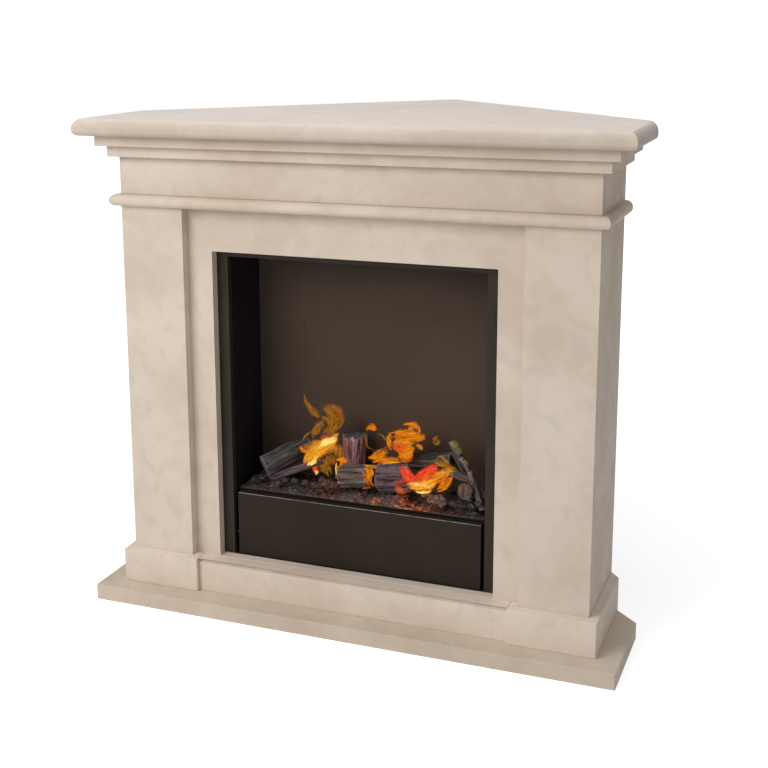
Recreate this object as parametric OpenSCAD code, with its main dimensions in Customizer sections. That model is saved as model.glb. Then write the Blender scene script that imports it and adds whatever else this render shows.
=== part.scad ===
// Corner fireplace: a stone surround that stands in a room corner, with an
// open-fronted electric fire box whose flames are lit water vapour.
// Depths are measured back from the face of the pilasters, heights up from the
// floor. The origin is on the floor, under the middle of the whole.

/* [Stone surround] */
// Width over the two pilasters
body_w = 956; // [940:2:980]
// Depth from the pilaster face to the room corner
corner_depth = 700; // [680:1:740]
// Thickness of the hearth slab
slab_t = 32; // [26:1:40]
// How far the hearth slab stands out past the pilasters
slab_proj = 62; // [50:1:66]
// Height of a plinth block's outer edge above the slab
plinth_h = 69; // [60:1:70]
// How far a plinth block stands out past its pilaster
plinth_proj = 18; // [12:1:24]
// Rise of the plinth's weathered top, from its outer edge to the pilaster
plinth_rise = 3; // [1:0.5:5]
// How far the skirting band stands out past the pilasters
skirting_proj = 8; // [4:1:12]
// Height of the shadow groove along the skirting band
groove_h = 6; // [4:1:9]
// Depth of that groove
groove_d = 6; // [3:1:8]
// Thickness of the lip above that groove
groove_lip = 1.5; // [1:0.5:4]
// Width of a pilaster
pilaster_w = 135; // [120:1:140]
// Height of a pilaster above the slab
pilaster_h = 793; // [780:1:820]
// Thickness of the pilaster, side and frieze boards
board_t = 21; // [18:1:26]
// Thickness of the front panel behind the pilasters
panel_t = 20; // [16:1:24]
// Width of the fire opening in the front panel
opening_w = 580; // [570:1:590]
// Height of the fire opening
opening_h = 637; // [630:1:644]
// Height of the fire opening's sill above the slab
sill_h = 70; // [69:1:80]
// Height of the bead moulding
bead_h = 23; // [18:1:28]
// How far the bead moulding stands out past the pilasters
bead_proj = 18; // [12:1:24]
// Radius of the bead moulding's nose
bead_r = 11; // [5:0.5:12]
// Height of the frieze
frieze_h = 75; // [65:1:90]
// Height of the lower cornice step
lower_cornice_h = 22; // [16:1:28]
// How far the lower cornice step stands out past the pilasters
lower_cornice_proj = 18; // [12:1:26]
// Height of the upper cornice step
upper_cornice_h = 21; // [16:1:28]
// How far the upper cornice step stands out past the pilasters
upper_cornice_proj = 35; // [28:1:44]
// Thickness of the mantel shelf
shelf_t = 34; // [30:1:40]
// How far the mantel shelf stands out past the pilasters
shelf_proj = 66; // [62:1:76]
// Radius of the shelf's upper edge
shelf_r_top = 19; // [10:1:20]
// Radius of the shelf's lower edge
shelf_r_bottom = 11; // [6:1:12]

/* [Timber frame] */
// Width of a rear post, across the body
post_w = 44; // [36:1:50]
// Thickness of a rear post, front to back
post_t = 28; // [22:1:34]
// Side of the square corner post
corner_post_s = 50; // [40:1:60]
// Height of the two wall rails
rail_h = 60; // [50:1:70]
// Thickness of the two wall rails
rail_t = 22; // [18:1:28]
// Radius of the wall fixing holes in the rails
wall_hole_r = 3.5; // [2.5:0.25:4.5]
// Distance of the first wall fixing hole from the room corner, along the wall
wall_hole_first = 180; // [140:1:220]
// Distance from the first wall fixing hole to the second
wall_hole_pitch = 260; // [200:1:300]
// Width of a fire box bearer
bearer_w = 40; // [30:1:50]
// Distance of a bearer's middle from the middle of the body
bearer_x = 200; // [150:1:220]
// Radius of a screw's shank
screw_r = 2; // [1.5:0.1:2.5]

/* [Fire box] */
// Thickness of the sheet steel of the fire box
sheet = 1.5; // [1:0.1:1.8]
// Thickness of the trim frame's plate
trim_t = 2; // [1.5:0.1:3]
// Width of the trim frame that shows inside the stone, at each side
trim_side = 24; // [16:1:28]
// How far the trim frame's top rail shows below the stone
trim_top = 12; // [8:1:16]
// How far the trim frame reaches behind the stone
trim_lap = 16; // [14:1:24]
// Depth of the lip folded back round the trim opening
trim_lip = 12; // [8:1:16]
// Height of the opening's sill above the underside of the fire box
sill_drop = 16; // [14:1:22]
// Depth of the casing behind the trim frame's plate
casing_depth = 195; // [190:1:230]
// Height of the casing
casing_h = 654; // [650:1:662]
// Depth of the fire chamber behind the trim frame's plate
chamber_depth = 144; // [138:1:160]
// Height of the fire deck above the underside of the fire box
deck_h = 140; // [138:1:148]
// Width of a folded flange
flange = 15; // [12:1:16]
// Height of the fire deck's folded edges
deck_flange = 20; // [18:1:21]

/* [Fuel bed] */
// Height of the ember tray's rim
tray_rim = 12.5; // [8:0.5:14]
// Gap between the ember tray and the drawer front's folded edge
tray_gap = 3; // [2:0.5:4]
// Thickness of the ember bed in its tray
bed_t = 12; // [9:0.5:15]
// Length of the vapour slot through deck, tray and bed
slot_l = 88; // [70:1:96]
// Width of that slot
slot_w = 36; // [30:1:42]

/* [Water drawer] */
// Gap between the drawer front and the trim frame, at each side
drawer_side_gap = 8; // [6:0.5:12]
// Height of the drawer front
drawer_h = 132; // [124:1:138]
// Depth of the drawer front's folded edges
drawer_fold = 14; // [12:0.5:16]
// Length of the drawer tray behind the front
drawer_tray_l = 136.5; // [124:0.5:142]
// Height of the drawer tray's walls
drawer_wall = 40; // [30:1:60]
// Height of the water tank
tank_h = 84; // [70:1:87]
// Wall of the water tank
tank_wall = 2.5; // [2:0.1:3.5]
// Radius of the water tank's upright corners
tank_corner = 10; // [6:1:14]
// Radius of the tank's filler neck
neck_r = 17; // [14:0.5:20]
// Height of the tank's filler neck
neck_h = 6; // [5:0.5:9]
// Radius of the tank's outlet spout
spout_r = 6; // [4:0.5:8]
// Side of a catch magnet's face
magnet_s = 12; // [8:1:13]

/* [Works] */
// Width of the vapour sump
sump_w = 110; // [104:1:116]
// Depth of the vapour sump
sump_l = 156; // [152:1:160]
// Height of the vapour sump
sump_h = 92.5; // [90:0.5:100]
// Wall of the vapour sump
sump_wall = 3; // [2:0.5:4]
// Distance of the vapour nozzle's middle behind the sump's front
nozzle_back = 63; // [56:1:76]
// Radius of a transducer disc
disc_r = 10; // [8:0.5:13]
// Side of the square fan housing
fan_s = 80; // [77:1:82]
// Thickness of the fan housing
fan_t = 25; // [20:1:30]
// Radius of the fan's rotor
rotor_r = 35; // [30:1:36]
// Number of fan blades
fan_blades = 7; // [5:1:9]
// Number of lamps under the ember bed
lamp_count = 4; // [2:1:4]
// Distance between two lamps
lamp_pitch = 110; // [90:1:120]
// Radius of a lamp
lamp_r = 8; // [6:0.5:9]
// Width of the control box
control_w = 106; // [100:1:112]
// Depth of the control box
control_l = 122; // [110:1:130]
// Height of the control box
control_h = 107; // [90:1:112]
// Wall of the control box
control_wall = 2.5; // [2:0.1:3]
// Width of the power rocker
rocker_w = 12; // [9:0.5:16]
// Height of the power rocker
rocker_h = 20; // [16:0.5:24]
// Radius of the flame knob
knob_r = 13; // [10:0.5:16]
// Length of the flame knob
knob_l = 12; // [8:0.5:14]
// Width of the mains inlet
inlet_w = 28; // [26:0.5:34]
// Height of the mains inlet
inlet_h = 20; // [19:0.5:24]

/* [Hidden] */
$fn = 48;
eps = 1;
// Clearance between pieces that lie close but move or lift out
gap = 0.3;
// Running clearance of a pin in its hole
run = 0.08;
// Clearance of a screw in its hole
screw_gap = 0.2;

// Stone surround: half widths, depths and levels
half = body_w / 2;
half_in = half - board_t;
panel_y = board_t;
panel_back = panel_y + panel_t;
z_slab = slab_t;
z_plinth = z_slab + plinth_h;
z_sill = z_slab + sill_h;
z_lintel = z_sill + opening_h;
z_bead = z_slab + pilaster_h;
z_frieze = z_bead + bead_h;
z_lower = z_frieze + frieze_h;
z_upper = z_lower + lower_cornice_h;
z_shelf = z_upper + upper_cornice_h;
pilaster_in = half - pilaster_w;
plinth_in = pilaster_in - plinth_proj;

// Timber frame
z_rail = z_shelf - rail_h;
post_x = half_in - post_w;
post_back = 2;
post_y = corner_depth - half_in - post_t - post_back;
wood_screw_z = [z_slab + 88, z_slab + 418, z_bead - 45];
wood_screw_head = 3;
wood_screw_bite = 9;

// Drawer front, in the trim opening
trim_y = panel_back;
box_y = trim_y + trim_t;
trim_half = opening_w / 2 - trim_side;
drawer_half = trim_half - drawer_side_gap;
drawer_y = box_y + 2;
drawer_z = z_sill + 0.8;
drawer_fold_y = drawer_y + drawer_fold;

// Fire box
trim_out = opening_w / 2 + trim_lap;
z_trim_open = z_lintel - trim_top;
z_trim_sill = z_sill - 1;
lip_back = box_y + trim_lip + 1;
box_z = z_sill - sill_drop;
box_top = box_z + casing_h;
side_in = trim_half + sheet;
side_out = side_in + sheet;
box_back = box_y + casing_depth;
z_pan = box_z + sheet;
z_deck = box_z + deck_h;
z_deck_top = z_deck + sheet;
deck_half = side_in - gap;
deck_front = drawer_fold_y + 1;
chamber_back = box_y + chamber_depth;
deck_back = chamber_back + sheet + flange;
lamp_y = deck_front + 16;
screw_hole_r = screw_r + screw_gap;
screw_head = 2.5;
screw_bite = 5;
box_screw_x = trim_out - trim_lap / 2;
box_screw_z = [150, 350, 550, 700];
box_screw_bite = 14;
back_screw_x = side_in - flange / 2;
back_screw_z = [130, 320, 510, 700];
top_screw_y = [box_y + 40, box_back - 25];
side_screw_y = [lamp_y, chamber_back + sheet + flange / 2];
side_screw_z = [z_pan + flange / 2, z_deck - deck_flange / 2];
liner_screw_z = [350, 650];
vent_w = 6;
vent_h = 60;
vent_z = box_z + 40;

// Control box, fan and sump, side by side from the right; the tray takes the rest
control_x1 = trim_half - 10;
control_x0 = control_x1 - control_w;
fan_x1 = control_x0 - 25;
sump_x1 = fan_x1 - fan_t;
sump_x0 = sump_x1 - sump_w;

// Drawer tray, its runners and the tank
runner_clear = 3.5;
runner_w = 14;
runner_x1 = sump_x0 - 2.5;
tray_x0 = 8 - drawer_half;
tray_x1 = runner_x1 - runner_w - runner_clear;
tray_y0 = drawer_y + sheet;
tray_y1 = tray_y0 + drawer_tray_l;
tray_z = drawer_z + sheet;
tray_top = tray_z + drawer_wall;
tray_flange = 7.5;
runner_y0 = drawer_fold_y + 2;
runner_y1 = tray_y1 + 3;
runner_z0 = tray_top - sheet - gap - sheet;
runner_z1 = tray_top + gap + sheet;
tank_gap = 2.5;
tank_x0 = tray_x0 + sheet + tank_gap;
tank_x1 = tray_x1 - sheet - tank_gap;
tank_y0 = tray_y0 + sheet + tank_gap;
tank_y1 = tray_y1 - sheet - tank_gap;
tank_z = tray_z + sheet;
tank_top = tank_z + tank_h;
neck_x = (tank_x0 + tank_x1) / 2;
neck_y = (tank_y0 + tank_y1) / 2 - 14;
cap_wall = 3;
magnet_x = 205;
magnet_z = z_deck - deck_flange / 2;

// Vapour works
sump_y0 = deck_front + 10;
sump_y1 = sump_y0 + sump_l;
sump_top = z_pan + sump_h;
vapour_x = (sump_x0 + sump_x1) / 2;
vapour_y = sump_y0 + nozzle_back;
duct_wall = 3;
duct_gap = 1;
cover_t = 3;
disc_h = 7.5;
arm_w = 32;
arm_y0 = sump_y1 - arm_w;
spout_x = tank_x1 - 46;
spout_z = tank_z + 12;
spout_y1 = arm_y0 + 2;
arm_x0 = spout_x - 20;
arm_top = z_pan + 52.5;
fan_y = vapour_y;
fan_z = z_pan + 8 + fan_s / 2;
bore_r = rotor_r + 2;
fan_hub_r = 11;
fan_pin_r = 2.5;
fan_strut = 4;
lamp_rail_z = z_deck - deck_flange - 1;
lamp_h = 10;
control_y0 = deck_front + 8;
control_y1 = control_y0 + control_l;
control_top = z_pan + control_h;
rocker_x = control_x0 + 28;
rocker_y = control_y0 + 5;
rocker_tilt = 7;
pivot_r = 1.5;
switch_z = z_pan + 62.5;
knob_x = control_x0 + 75;
knob_shaft_r = 3;
inlet_x = control_x0 + 50;
inlet_z = z_pan + 42.5;
inlet_wall = 2.5;
inlet_face = box_back + sheet;
inlet_flange = 2;

// Fuel bed
bed_half = trim_half - 4;
bed_y0 = drawer_fold_y + tray_gap;
bed_y1 = chamber_back - 1.5;
bed_z = z_deck_top + sheet;
bed_top = bed_z + bed_t;
foot_r = 8;

stone = [0.83, 0.76, 0.69];
timber = [0.80, 0.66, 0.46];
black_steel = [0.20, 0.18, 0.16];
zinc = [0.66, 0.67, 0.68];
charred = [0.27, 0.25, 0.26];
ember_red = [0.36, 0.15, 0.09];
black_plastic = [0.12, 0.12, 0.13];

// Moves a piece from the pilaster-face datum to the part's own origin
module placed() {
    translate([0, (shelf_proj - corner_depth) / 2, 0]) children();
}

// A block given by its two corners
module block(low, high) {
    translate(low) cube(high - low);
}

// A thing and its mirror image on the other side of the middle
module both_sides() {
    children();
    mirror([1, 0, 0]) children();
}

// Rods along X, Y and Z, each from a start point
module rod_x(at, r, l) {
    translate(at) rotate([0, 90, 0]) cylinder(r = r, h = l);
}

module rod_y(at, r, l) {
    translate(at) rotate([-90, 0, 0]) cylinder(r = r, h = l);
}

module rod_z(at, r, l) {
    translate(at) cylinder(r = r, h = l);
}

// ---- Stone surround ----

// Plan of the body grown by a projection: front, two short sides, two wall edges
function plan(proj) = [
    [-half - proj, -proj], [half + proj, -proj],
    [half + proj, corner_depth - half - proj], [0, corner_depth],
    [-half - proj, corner_depth - half - proj]
];

module base_slab() {
    color(stone) linear_extrude(slab_t) polygon(plan(slab_proj));
}

// Takes the slope off the top of a plinth leg whose edge is at x = -proj
module weathering(l) {
    rise = plinth_rise / plinth_proj;
    rotate([90, 0, 0]) mirror([0, 0, 1]) linear_extrude(l)
        polygon([[-plinth_proj - eps, -eps * rise], [0, plinth_rise],
                 [0, plinth_rise + eps], [-plinth_proj - eps, plinth_rise + eps]]);
}

// Left plinth block: wraps the foot of the pilaster on three sides
module plinth() {
    color(stone) difference() {
        translate([0, 0, z_slab]) linear_extrude(plinth_h + plinth_rise) polygon([
            [-half - plinth_proj, -plinth_proj], [-plinth_in, -plinth_proj],
            [-plinth_in, panel_y], [-pilaster_in, panel_y], [-pilaster_in, 0],
            [-half, 0], [-half, corner_depth - half],
            [-half - plinth_proj, corner_depth - half - plinth_proj]
        ]);
        translate([-half, -plinth_proj - eps, z_plinth]) weathering(corner_depth);
        translate([-pilaster_in, -plinth_proj - eps, z_plinth]) mirror([1, 0, 0])
            weathering(plinth_proj + panel_y + 2 * eps);
        translate([-plinth_in + eps, 0, z_plinth]) rotate([0, 0, 90])
            weathering(pilaster_w + 2 * plinth_proj + 2 * eps);
    }
}

module left_plinth() {
    plinth();
}

module right_plinth() {
    mirror([1, 0, 0]) plinth();
}

module skirting_band() {
    groove_z = z_plinth - groove_lip - groove_h;
    color(stone) difference() {
        block([-plinth_in, -skirting_proj, z_slab], [plinth_in, panel_y, z_plinth]);
        block([-plinth_in - eps, -skirting_proj - eps, groove_z],
              [plinth_in + eps, groove_d - skirting_proj, groove_z + groove_h]);
    }
}

// Pilaster board, mitred to the side panel at the body's outer edge
module pilaster() {
    color(stone) translate([0, 0, z_slab]) linear_extrude(pilaster_h)
        polygon([[-half, 0], [-pilaster_in, 0], [-pilaster_in, board_t], [-half_in, board_t]]);
}

module left_pilaster() {
    pilaster();
}

module right_pilaster() {
    mirror([1, 0, 0]) pilaster();
}

// Plan of a side board, from the mitre back to the wall
module side_plan() {
    polygon([[-half, 0], [-half_in, board_t], [-half_in, corner_depth - half_in],
             [-half, corner_depth - half]]);
}

module side_panel() {
    color(stone) difference() {
        translate([0, 0, z_slab]) linear_extrude(pilaster_h) side_plan();
        for (z = wood_screw_z)
            rod_x([-half_in - wood_screw_bite - gap, post_y + post_t / 2, z],
                  screw_hole_r, wood_screw_bite + gap + eps);
    }
}

module left_side_panel() {
    side_panel();
}

module right_side_panel() {
    mirror([1, 0, 0]) side_panel();
}

module front_panel() {
    color(stone) difference() {
        block([-half_in, panel_y, z_slab], [half_in, panel_back, z_shelf]);
        block([-opening_w / 2, panel_y - eps, z_sill],
              [opening_w / 2, panel_back + eps, z_lintel]);
        both_sides() for (z = box_screw_z)
            rod_y([box_screw_x, panel_back - box_screw_bite - gap, z],
                  screw_hole_r, box_screw_bite + gap + eps);
    }
}

// Cuts one corner of a square to a radius
module corner_cut(r) {
    difference() {
        translate([-eps, -eps]) square(r + eps);
        translate([r, r]) circle(r);
    }
}

// Section of a board with a rounded nose at x = 0
module nosed(l, t, r_top, r_bottom) {
    difference() {
        square([l, t]);
        corner_cut(min(r_bottom, t / 2 - gap));
        translate([0, t]) mirror([0, 1]) corner_cut(min(r_top, t - r_bottom - gap));
    }
}

// The nosed board along the front, and the same along the left side
module nosed_front(proj, l, t, r_top, r_bottom, z) {
    translate([-half - proj, -proj, z]) rotate([90, 0, 90]) linear_extrude(2 * (half + proj))
        nosed(l, t, r_top, r_bottom);
}

module nosed_side(proj, l, t, r_top, r_bottom, z) {
    translate([-half - proj, corner_depth, z]) rotate([90, 0, 0])
        linear_extrude(corner_depth + proj) nosed(l, t, r_top, r_bottom);
}

module bead_front() {
    r = min(bead_r, bead_h / 2 - gap);
    color(stone) intersection() {
        nosed_front(bead_proj, bead_proj + board_t, bead_h, r, r, z_bead);
        translate([0, 0, z_bead]) linear_extrude(bead_h)
            polygon([[-half - bead_proj, -bead_proj], [half + bead_proj, -bead_proj],
                     [half_in, board_t], [-half_in, board_t]]);
    }
}

module bead_return() {
    r = min(bead_r, bead_h / 2 - gap);
    color(stone) intersection() {
        nosed_side(bead_proj, bead_proj + board_t, bead_h, r, r, z_bead);
        translate([0, 0, z_bead]) linear_extrude(bead_h)
            polygon([[-half - bead_proj, -bead_proj], [-half_in, board_t],
                     [-half_in, corner_depth - half_in],
                     [-half - bead_proj, corner_depth - half - bead_proj]]);
    }
}

module bead_left_return() {
    bead_return();
}

module bead_right_return() {
    mirror([1, 0, 0]) bead_return();
}

module frieze_front() {
    color(stone) translate([0, 0, z_frieze]) linear_extrude(frieze_h)
        polygon([[-half, 0], [half, 0], [half_in, board_t], [-half_in, board_t]]);
}

module frieze_return() {
    color(stone) translate([0, 0, z_frieze]) linear_extrude(frieze_h) side_plan();
}

module frieze_left_return() {
    frieze_return();
}

module frieze_right_return() {
    mirror([1, 0, 0]) frieze_return();
}

// A cornice step: front and two returns in one casting, open at the back
module cornice(proj, h, z) {
    color(stone) translate([0, 0, z]) linear_extrude(h) difference() {
        polygon(plan(proj));
        polygon([[-half_in, board_t], [half_in, board_t], [half_in, 2 * corner_depth],
                 [-half_in, 2 * corner_depth]]);
    }
}

module lower_cornice() {
    cornice(lower_cornice_proj, lower_cornice_h, z_lower);
}

module upper_cornice() {
    cornice(upper_cornice_proj, upper_cornice_h, z_upper);
}

module mantel_shelf() {
    l = 2 * (corner_depth + shelf_proj);
    color(stone) intersection() {
        nosed_front(shelf_proj, l, shelf_t, shelf_r_top, shelf_r_bottom, z_shelf);
        nosed_side(shelf_proj, l, shelf_t, shelf_r_top, shelf_r_bottom, z_shelf);
        mirror([1, 0, 0])
            nosed_side(shelf_proj, l, shelf_t, shelf_r_top, shelf_r_bottom, z_shelf);
        translate([0, 0, z_shelf]) linear_extrude(shelf_t) polygon(plan(shelf_proj));
    }
}

// ---- Timber frame ----

module rear_post() {
    color(timber) difference() {
        block([-half_in, post_y, z_slab], [-post_x, post_y + post_t, z_rail]);
        for (z = wood_screw_z)
            rod_x([-half_in - eps, post_y + post_t / 2, z], screw_hole_r, post_w + 2 * eps);
    }
}

module left_rear_post() {
    rear_post();
}

module right_rear_post() {
    mirror([1, 0, 0]) rear_post();
}

module corner_post() {
    color(timber) translate([0, corner_depth, z_slab]) rotate([0, 0, 225])
        cube([corner_post_s, corner_post_s, z_rail - z_slab]);
}

// Rail along the left wall, with two holes square to the wall
module wall_rail() {
    back = rail_t * sqrt(2);
    color(timber) difference() {
        translate([0, 0, z_rail]) linear_extrude(rail_h)
            polygon([[-half_in, corner_depth - half_in - back], [0, corner_depth - back],
                     [0, corner_depth], [-half_in, corner_depth - half_in]]);
        translate([0, corner_depth, z_rail + rail_h / 2]) rotate([0, 0, 225])
            for (s = [wall_hole_first, wall_hole_first + wall_hole_pitch])
                rod_y([s, -eps, 0], wall_hole_r, rail_t + 2 * eps);
    }
}

module left_wall_rail() {
    wall_rail();
}

module right_wall_rail() {
    mirror([1, 0, 0]) wall_rail();
}

module firebox_bearers() {
    color(timber) for (side = [-1, 1])
        block([side * bearer_x - bearer_w / 2, panel_back + 4, z_slab],
              [side * bearer_x + bearer_w / 2, box_back - 3, box_z]);
}

module wood_screws() {
    color(zinc) both_sides() for (z = wood_screw_z) {
        rod_x([-half_in - wood_screw_bite, post_y + post_t / 2, z], screw_r,
              post_w + wood_screw_bite + eps);
        rod_x([-post_x, post_y + post_t / 2, z], 2 * screw_r, wood_screw_head);
    }
}

// ---- Fire box ----

// The screw holes of the left half of the box, each drawn as a rod
module box_screw_rods(r, extra) {
    for (z = box_screw_z)
        rod_y([-box_screw_x, trim_y - extra, z], r, trim_t + sheet + 2 * extra);
    for (z = back_screw_z)
        rod_y([-back_screw_x, box_back - sheet - extra, z], r, 2 * sheet + 2 * extra);
    for (y = top_screw_y)
        rod_z([-back_screw_x, y, box_top - sheet - extra], r, 2 * sheet + 2 * extra);
    for (y = side_screw_y)
        for (z = side_screw_z)
            rod_x([-side_out - extra, y, z], r, 3 * sheet + gap + 2 * extra);
    for (z = liner_screw_z)
        rod_x([-side_out - extra, side_screw_y[1], z], r, 2 * sheet + gap + 2 * extra);
}

module screw_holes() {
    both_sides() box_screw_rods(screw_hole_r, eps);
}

module trim_frame() {
    color(black_steel) difference() {
        union() {
            block([-trim_out, trim_y, box_z], [trim_out, box_y, z_lintel + trim_lap]);
            block([-side_in, trim_y, z_trim_sill - sheet],
                  [side_in, box_y + trim_lip, z_trim_open + sheet]);
        }
        block([-trim_half, trim_y - eps, z_trim_sill],
              [trim_half, box_y + trim_lip + eps, z_trim_open]);
        screw_holes();
    }
}

// Left side of the casing, with its front, back and top edges folded
module casing_side() {
    color(black_steel) difference() {
        union() {
            block([-side_out, box_y, box_z], [-side_in, box_back, box_top]);
            block([-trim_out, box_y, box_z], [-side_in, box_y + sheet, box_top]);
            block([-side_out, box_back - sheet, box_z], [-side_in + flange, box_back, box_top]);
            block([-side_out, lip_back, box_top - sheet], [-side_in + flange, box_back, box_top]);
        }
        screw_holes();
    }
}

module casing_left() {
    casing_side();
}

module casing_right() {
    mirror([1, 0, 0]) casing_side();
}

module casing_back() {
    color(black_steel) difference() {
        block([-side_out, box_back, box_z], [side_out, box_back + sheet, box_top]);
        for (i = [-6:6])
            block([(2 * i - 0.5) * vent_w, box_back - eps, vent_z],
                  [(2 * i + 0.5) * vent_w, box_back + sheet + eps, vent_z + vent_h]);
        block([inlet_x - inlet_w / 2 - gap, box_back - eps, inlet_z - inlet_h / 2 - gap],
              [inlet_x + inlet_w / 2 + gap, box_back + sheet + eps, inlet_z + inlet_h / 2 + gap]);
        screw_holes();
    }
}

module casing_top() {
    color(black_steel) difference() {
        union() {
            block([-side_out, box_y, box_top], [side_out, box_back + sheet, box_top + sheet]);
            block([-side_out, box_y, box_top], [side_out, box_y + sheet, z_lintel + trim_lap]);
        }
        screw_holes();
    }
}

module base_pan() {
    color(black_steel) difference() {
        union() {
            block([-side_in, box_y, box_z], [side_in, box_back - sheet, z_pan]);
            block([-side_in, box_back - 2 * sheet, box_z],
                  [side_in, box_back - sheet, z_pan + flange]);
            both_sides() block([-side_in, lip_back, box_z],
                               [-side_in + sheet, box_back - sheet, z_pan + flange]);
        }
        screw_holes();
    }
}

// Back wall of the fire chamber, folded back at its sides and its foot
module chamber_back_panel() {
    color(black_steel) difference() {
        block([-deck_half, chamber_back, z_deck_top],
              [deck_half, deck_back, box_top - sheet - gap]);
        block([-deck_half + sheet, chamber_back + sheet, z_deck_top + sheet],
              [deck_half - sheet, deck_back + eps, box_top]);
        screw_holes();
    }
}

module vapour_slot() {
    block([vapour_x - slot_l / 2, vapour_y - slot_w / 2, z_deck - eps],
          [vapour_x + slot_l / 2, vapour_y + slot_w / 2, bed_top + eps]);
}

// Places a child at each lamp
module each_lamp() {
    for (i = [0:lamp_count - 1])
        translate([(i - (lamp_count - 1) / 2) * lamp_pitch, lamp_y, 0]) children();
}

module fire_deck() {
    color(black_steel) difference() {
        block([-deck_half, deck_front, z_deck - deck_flange], [deck_half, deck_back, z_deck_top]);
        block([-deck_half + sheet, deck_front + sheet, z_deck - deck_flange - eps],
              [deck_half - sheet, deck_back + eps, z_deck]);
        vapour_slot();
        each_lamp() rod_z([0, 0, z_deck - eps], lamp_r - 1, sheet + 2 * eps);
        screw_holes();
    }
}

// Screws: shank through the sheets, head outside the last one
module side_screw(y, z) {
    rod_x([-side_out - eps, y, z], screw_r, screw_bite + sheet + eps);
    rod_x([-side_out - screw_head, y, z], 2 * screw_r, screw_head);
}

module box_screws_left() {
    for (z = box_screw_z) {
        rod_y([-box_screw_x, trim_y - box_screw_bite, z], screw_r,
              box_screw_bite + trim_t + sheet + eps);
        rod_y([-box_screw_x, box_y + sheet, z], 2 * screw_r, screw_head);
    }
    for (z = back_screw_z) {
        rod_y([-back_screw_x, box_back - screw_bite, z], screw_r, screw_bite + sheet + eps);
        rod_y([-back_screw_x, box_back + sheet, z], 2 * screw_r, screw_head);
    }
    for (y = top_screw_y) {
        rod_z([-back_screw_x, y, box_top - screw_bite], screw_r, screw_bite + sheet + eps);
        rod_z([-back_screw_x, y, box_top + sheet], 2 * screw_r, screw_head);
    }
    for (y = side_screw_y)
        for (z = side_screw_z) side_screw(y, z);
    for (z = liner_screw_z) side_screw(side_screw_y[1], z);
}

module machine_screws() {
    color(zinc) both_sides() box_screws_left();
}

// ---- Fuel bed ----

module ember_tray() {
    color(black_steel) difference() {
        block([-bed_half, bed_y0, z_deck_top], [bed_half, bed_y1, z_deck_top + tray_rim]);
        block([-bed_half + sheet, bed_y0 + sheet, bed_z],
              [bed_half - sheet, bed_y1 - sheet, z_deck_top + tray_rim + eps]);
        vapour_slot();
        each_lamp() rod_z([0, 0, z_deck_top - eps], lamp_r - 1, sheet + 2 * eps);
    }
}

module ember_bed() {
    in = sheet + gap;
    color(ember_red) difference() {
        block([-bed_half + in, bed_y0 + in, bed_z], [bed_half - in, bed_y1 - in, bed_top]);
        vapour_slot();
    }
}

// A tapered rod from one point to another
module limb(a, b, ra, rb) {
    d = b - a;
    translate(a) rotate([0, acos(d[2] / norm(d)), atan2(d[1], d[0])])
        cylinder(r1 = ra, r2 = rb, h = norm(d));
}

// A moulded foot from the ember bed up to a point inside a log
module foot(p) {
    rod_z([p[0], p[1], bed_top], foot_r, p[2] - bed_top);
}

// A lying log on two feet
module lying_log(a, b, ra, rb) {
    color(charred) {
        limb(a, b, ra, rb);
        foot(a + 0.25 * (b - a));
        foot(a + 0.75 * (b - a));
    }
}

// Points over the ember bed: along it, back from its front edge, and up from its top
function on_bed(x, y, h) = [x, bed_y0 + y, bed_top + h];

// The same, measured in from the bed's left or right end, or forward from its back edge
function from_left(x, y, h) = on_bed(x - bed_half, y, h);
function from_right(x, y, h) = on_bed(bed_half - x, y, h);
function from_back(x, y, h) = on_bed(x, bed_y1 - bed_y0 - y, h);
function from_back_right(x, y, h) = from_back(bed_half - x, y, h);

module log_left() {
    lying_log(from_left(53, 16, 45), from_left(125, 76, 83), 26, 21);
}

module log_upright() {
    color(charred) rod_z(from_back(-40, 39.5, 0), 25, 111);
}

module log_front_left() {
    lying_log(on_bed(-46, 24, 42), on_bed(21, 24, 50), 24.5, 24.5);
}

module log_front_right() {
    lying_log(on_bed(28, 21, 50), on_bed(100, 21, 59), 28, 28);
}

module log_back() {
    lying_log(from_back_right(186, 32.5, 67), from_back_right(96, 32.5, 78), 20, 20);
}

module branch_leaning() {
    low = from_right(26, 62, 9);
    color(charred) {
        limb(low, from_right(91, 74, 124), 9, 8);
        foot(low);
    }
}

module log_stub() {
    color(charred) {
        limb(from_right(46, 16, 45), from_right(40, 48, 38), 17, 18);
        foot(from_right(43, 32, 40));
    }
}

// ---- Water drawer ----

module drawer_front() {
    color(black_steel) difference() {
        block([-drawer_half, drawer_y, drawer_z],
              [drawer_half, drawer_fold_y, drawer_z + drawer_h]);
        block([-drawer_half + sheet, drawer_y + sheet, drawer_z + sheet],
              [drawer_half - sheet, drawer_fold_y + eps, drawer_z + drawer_h - sheet]);
    }
}

module drawer_tray() {
    color(black_steel) difference() {
        union() {
            block([tray_x0, tray_y0, tray_z], [tray_x1, tray_y1, tray_top]);
            block([tray_x0 - tray_flange, drawer_fold_y + eps, tray_top - sheet],
                  [tray_x1 + tray_flange, tray_y1, tray_top]);
        }
        block([tray_x0 + sheet, tray_y0 + sheet, tray_z + sheet],
              [tray_x1 - sheet, tray_y1 - sheet, tray_top + eps]);
        rod_y([spout_x, tray_y1 - sheet - eps, spout_z], spout_r + 1, sheet + 2 * eps);
    }
}

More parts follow.
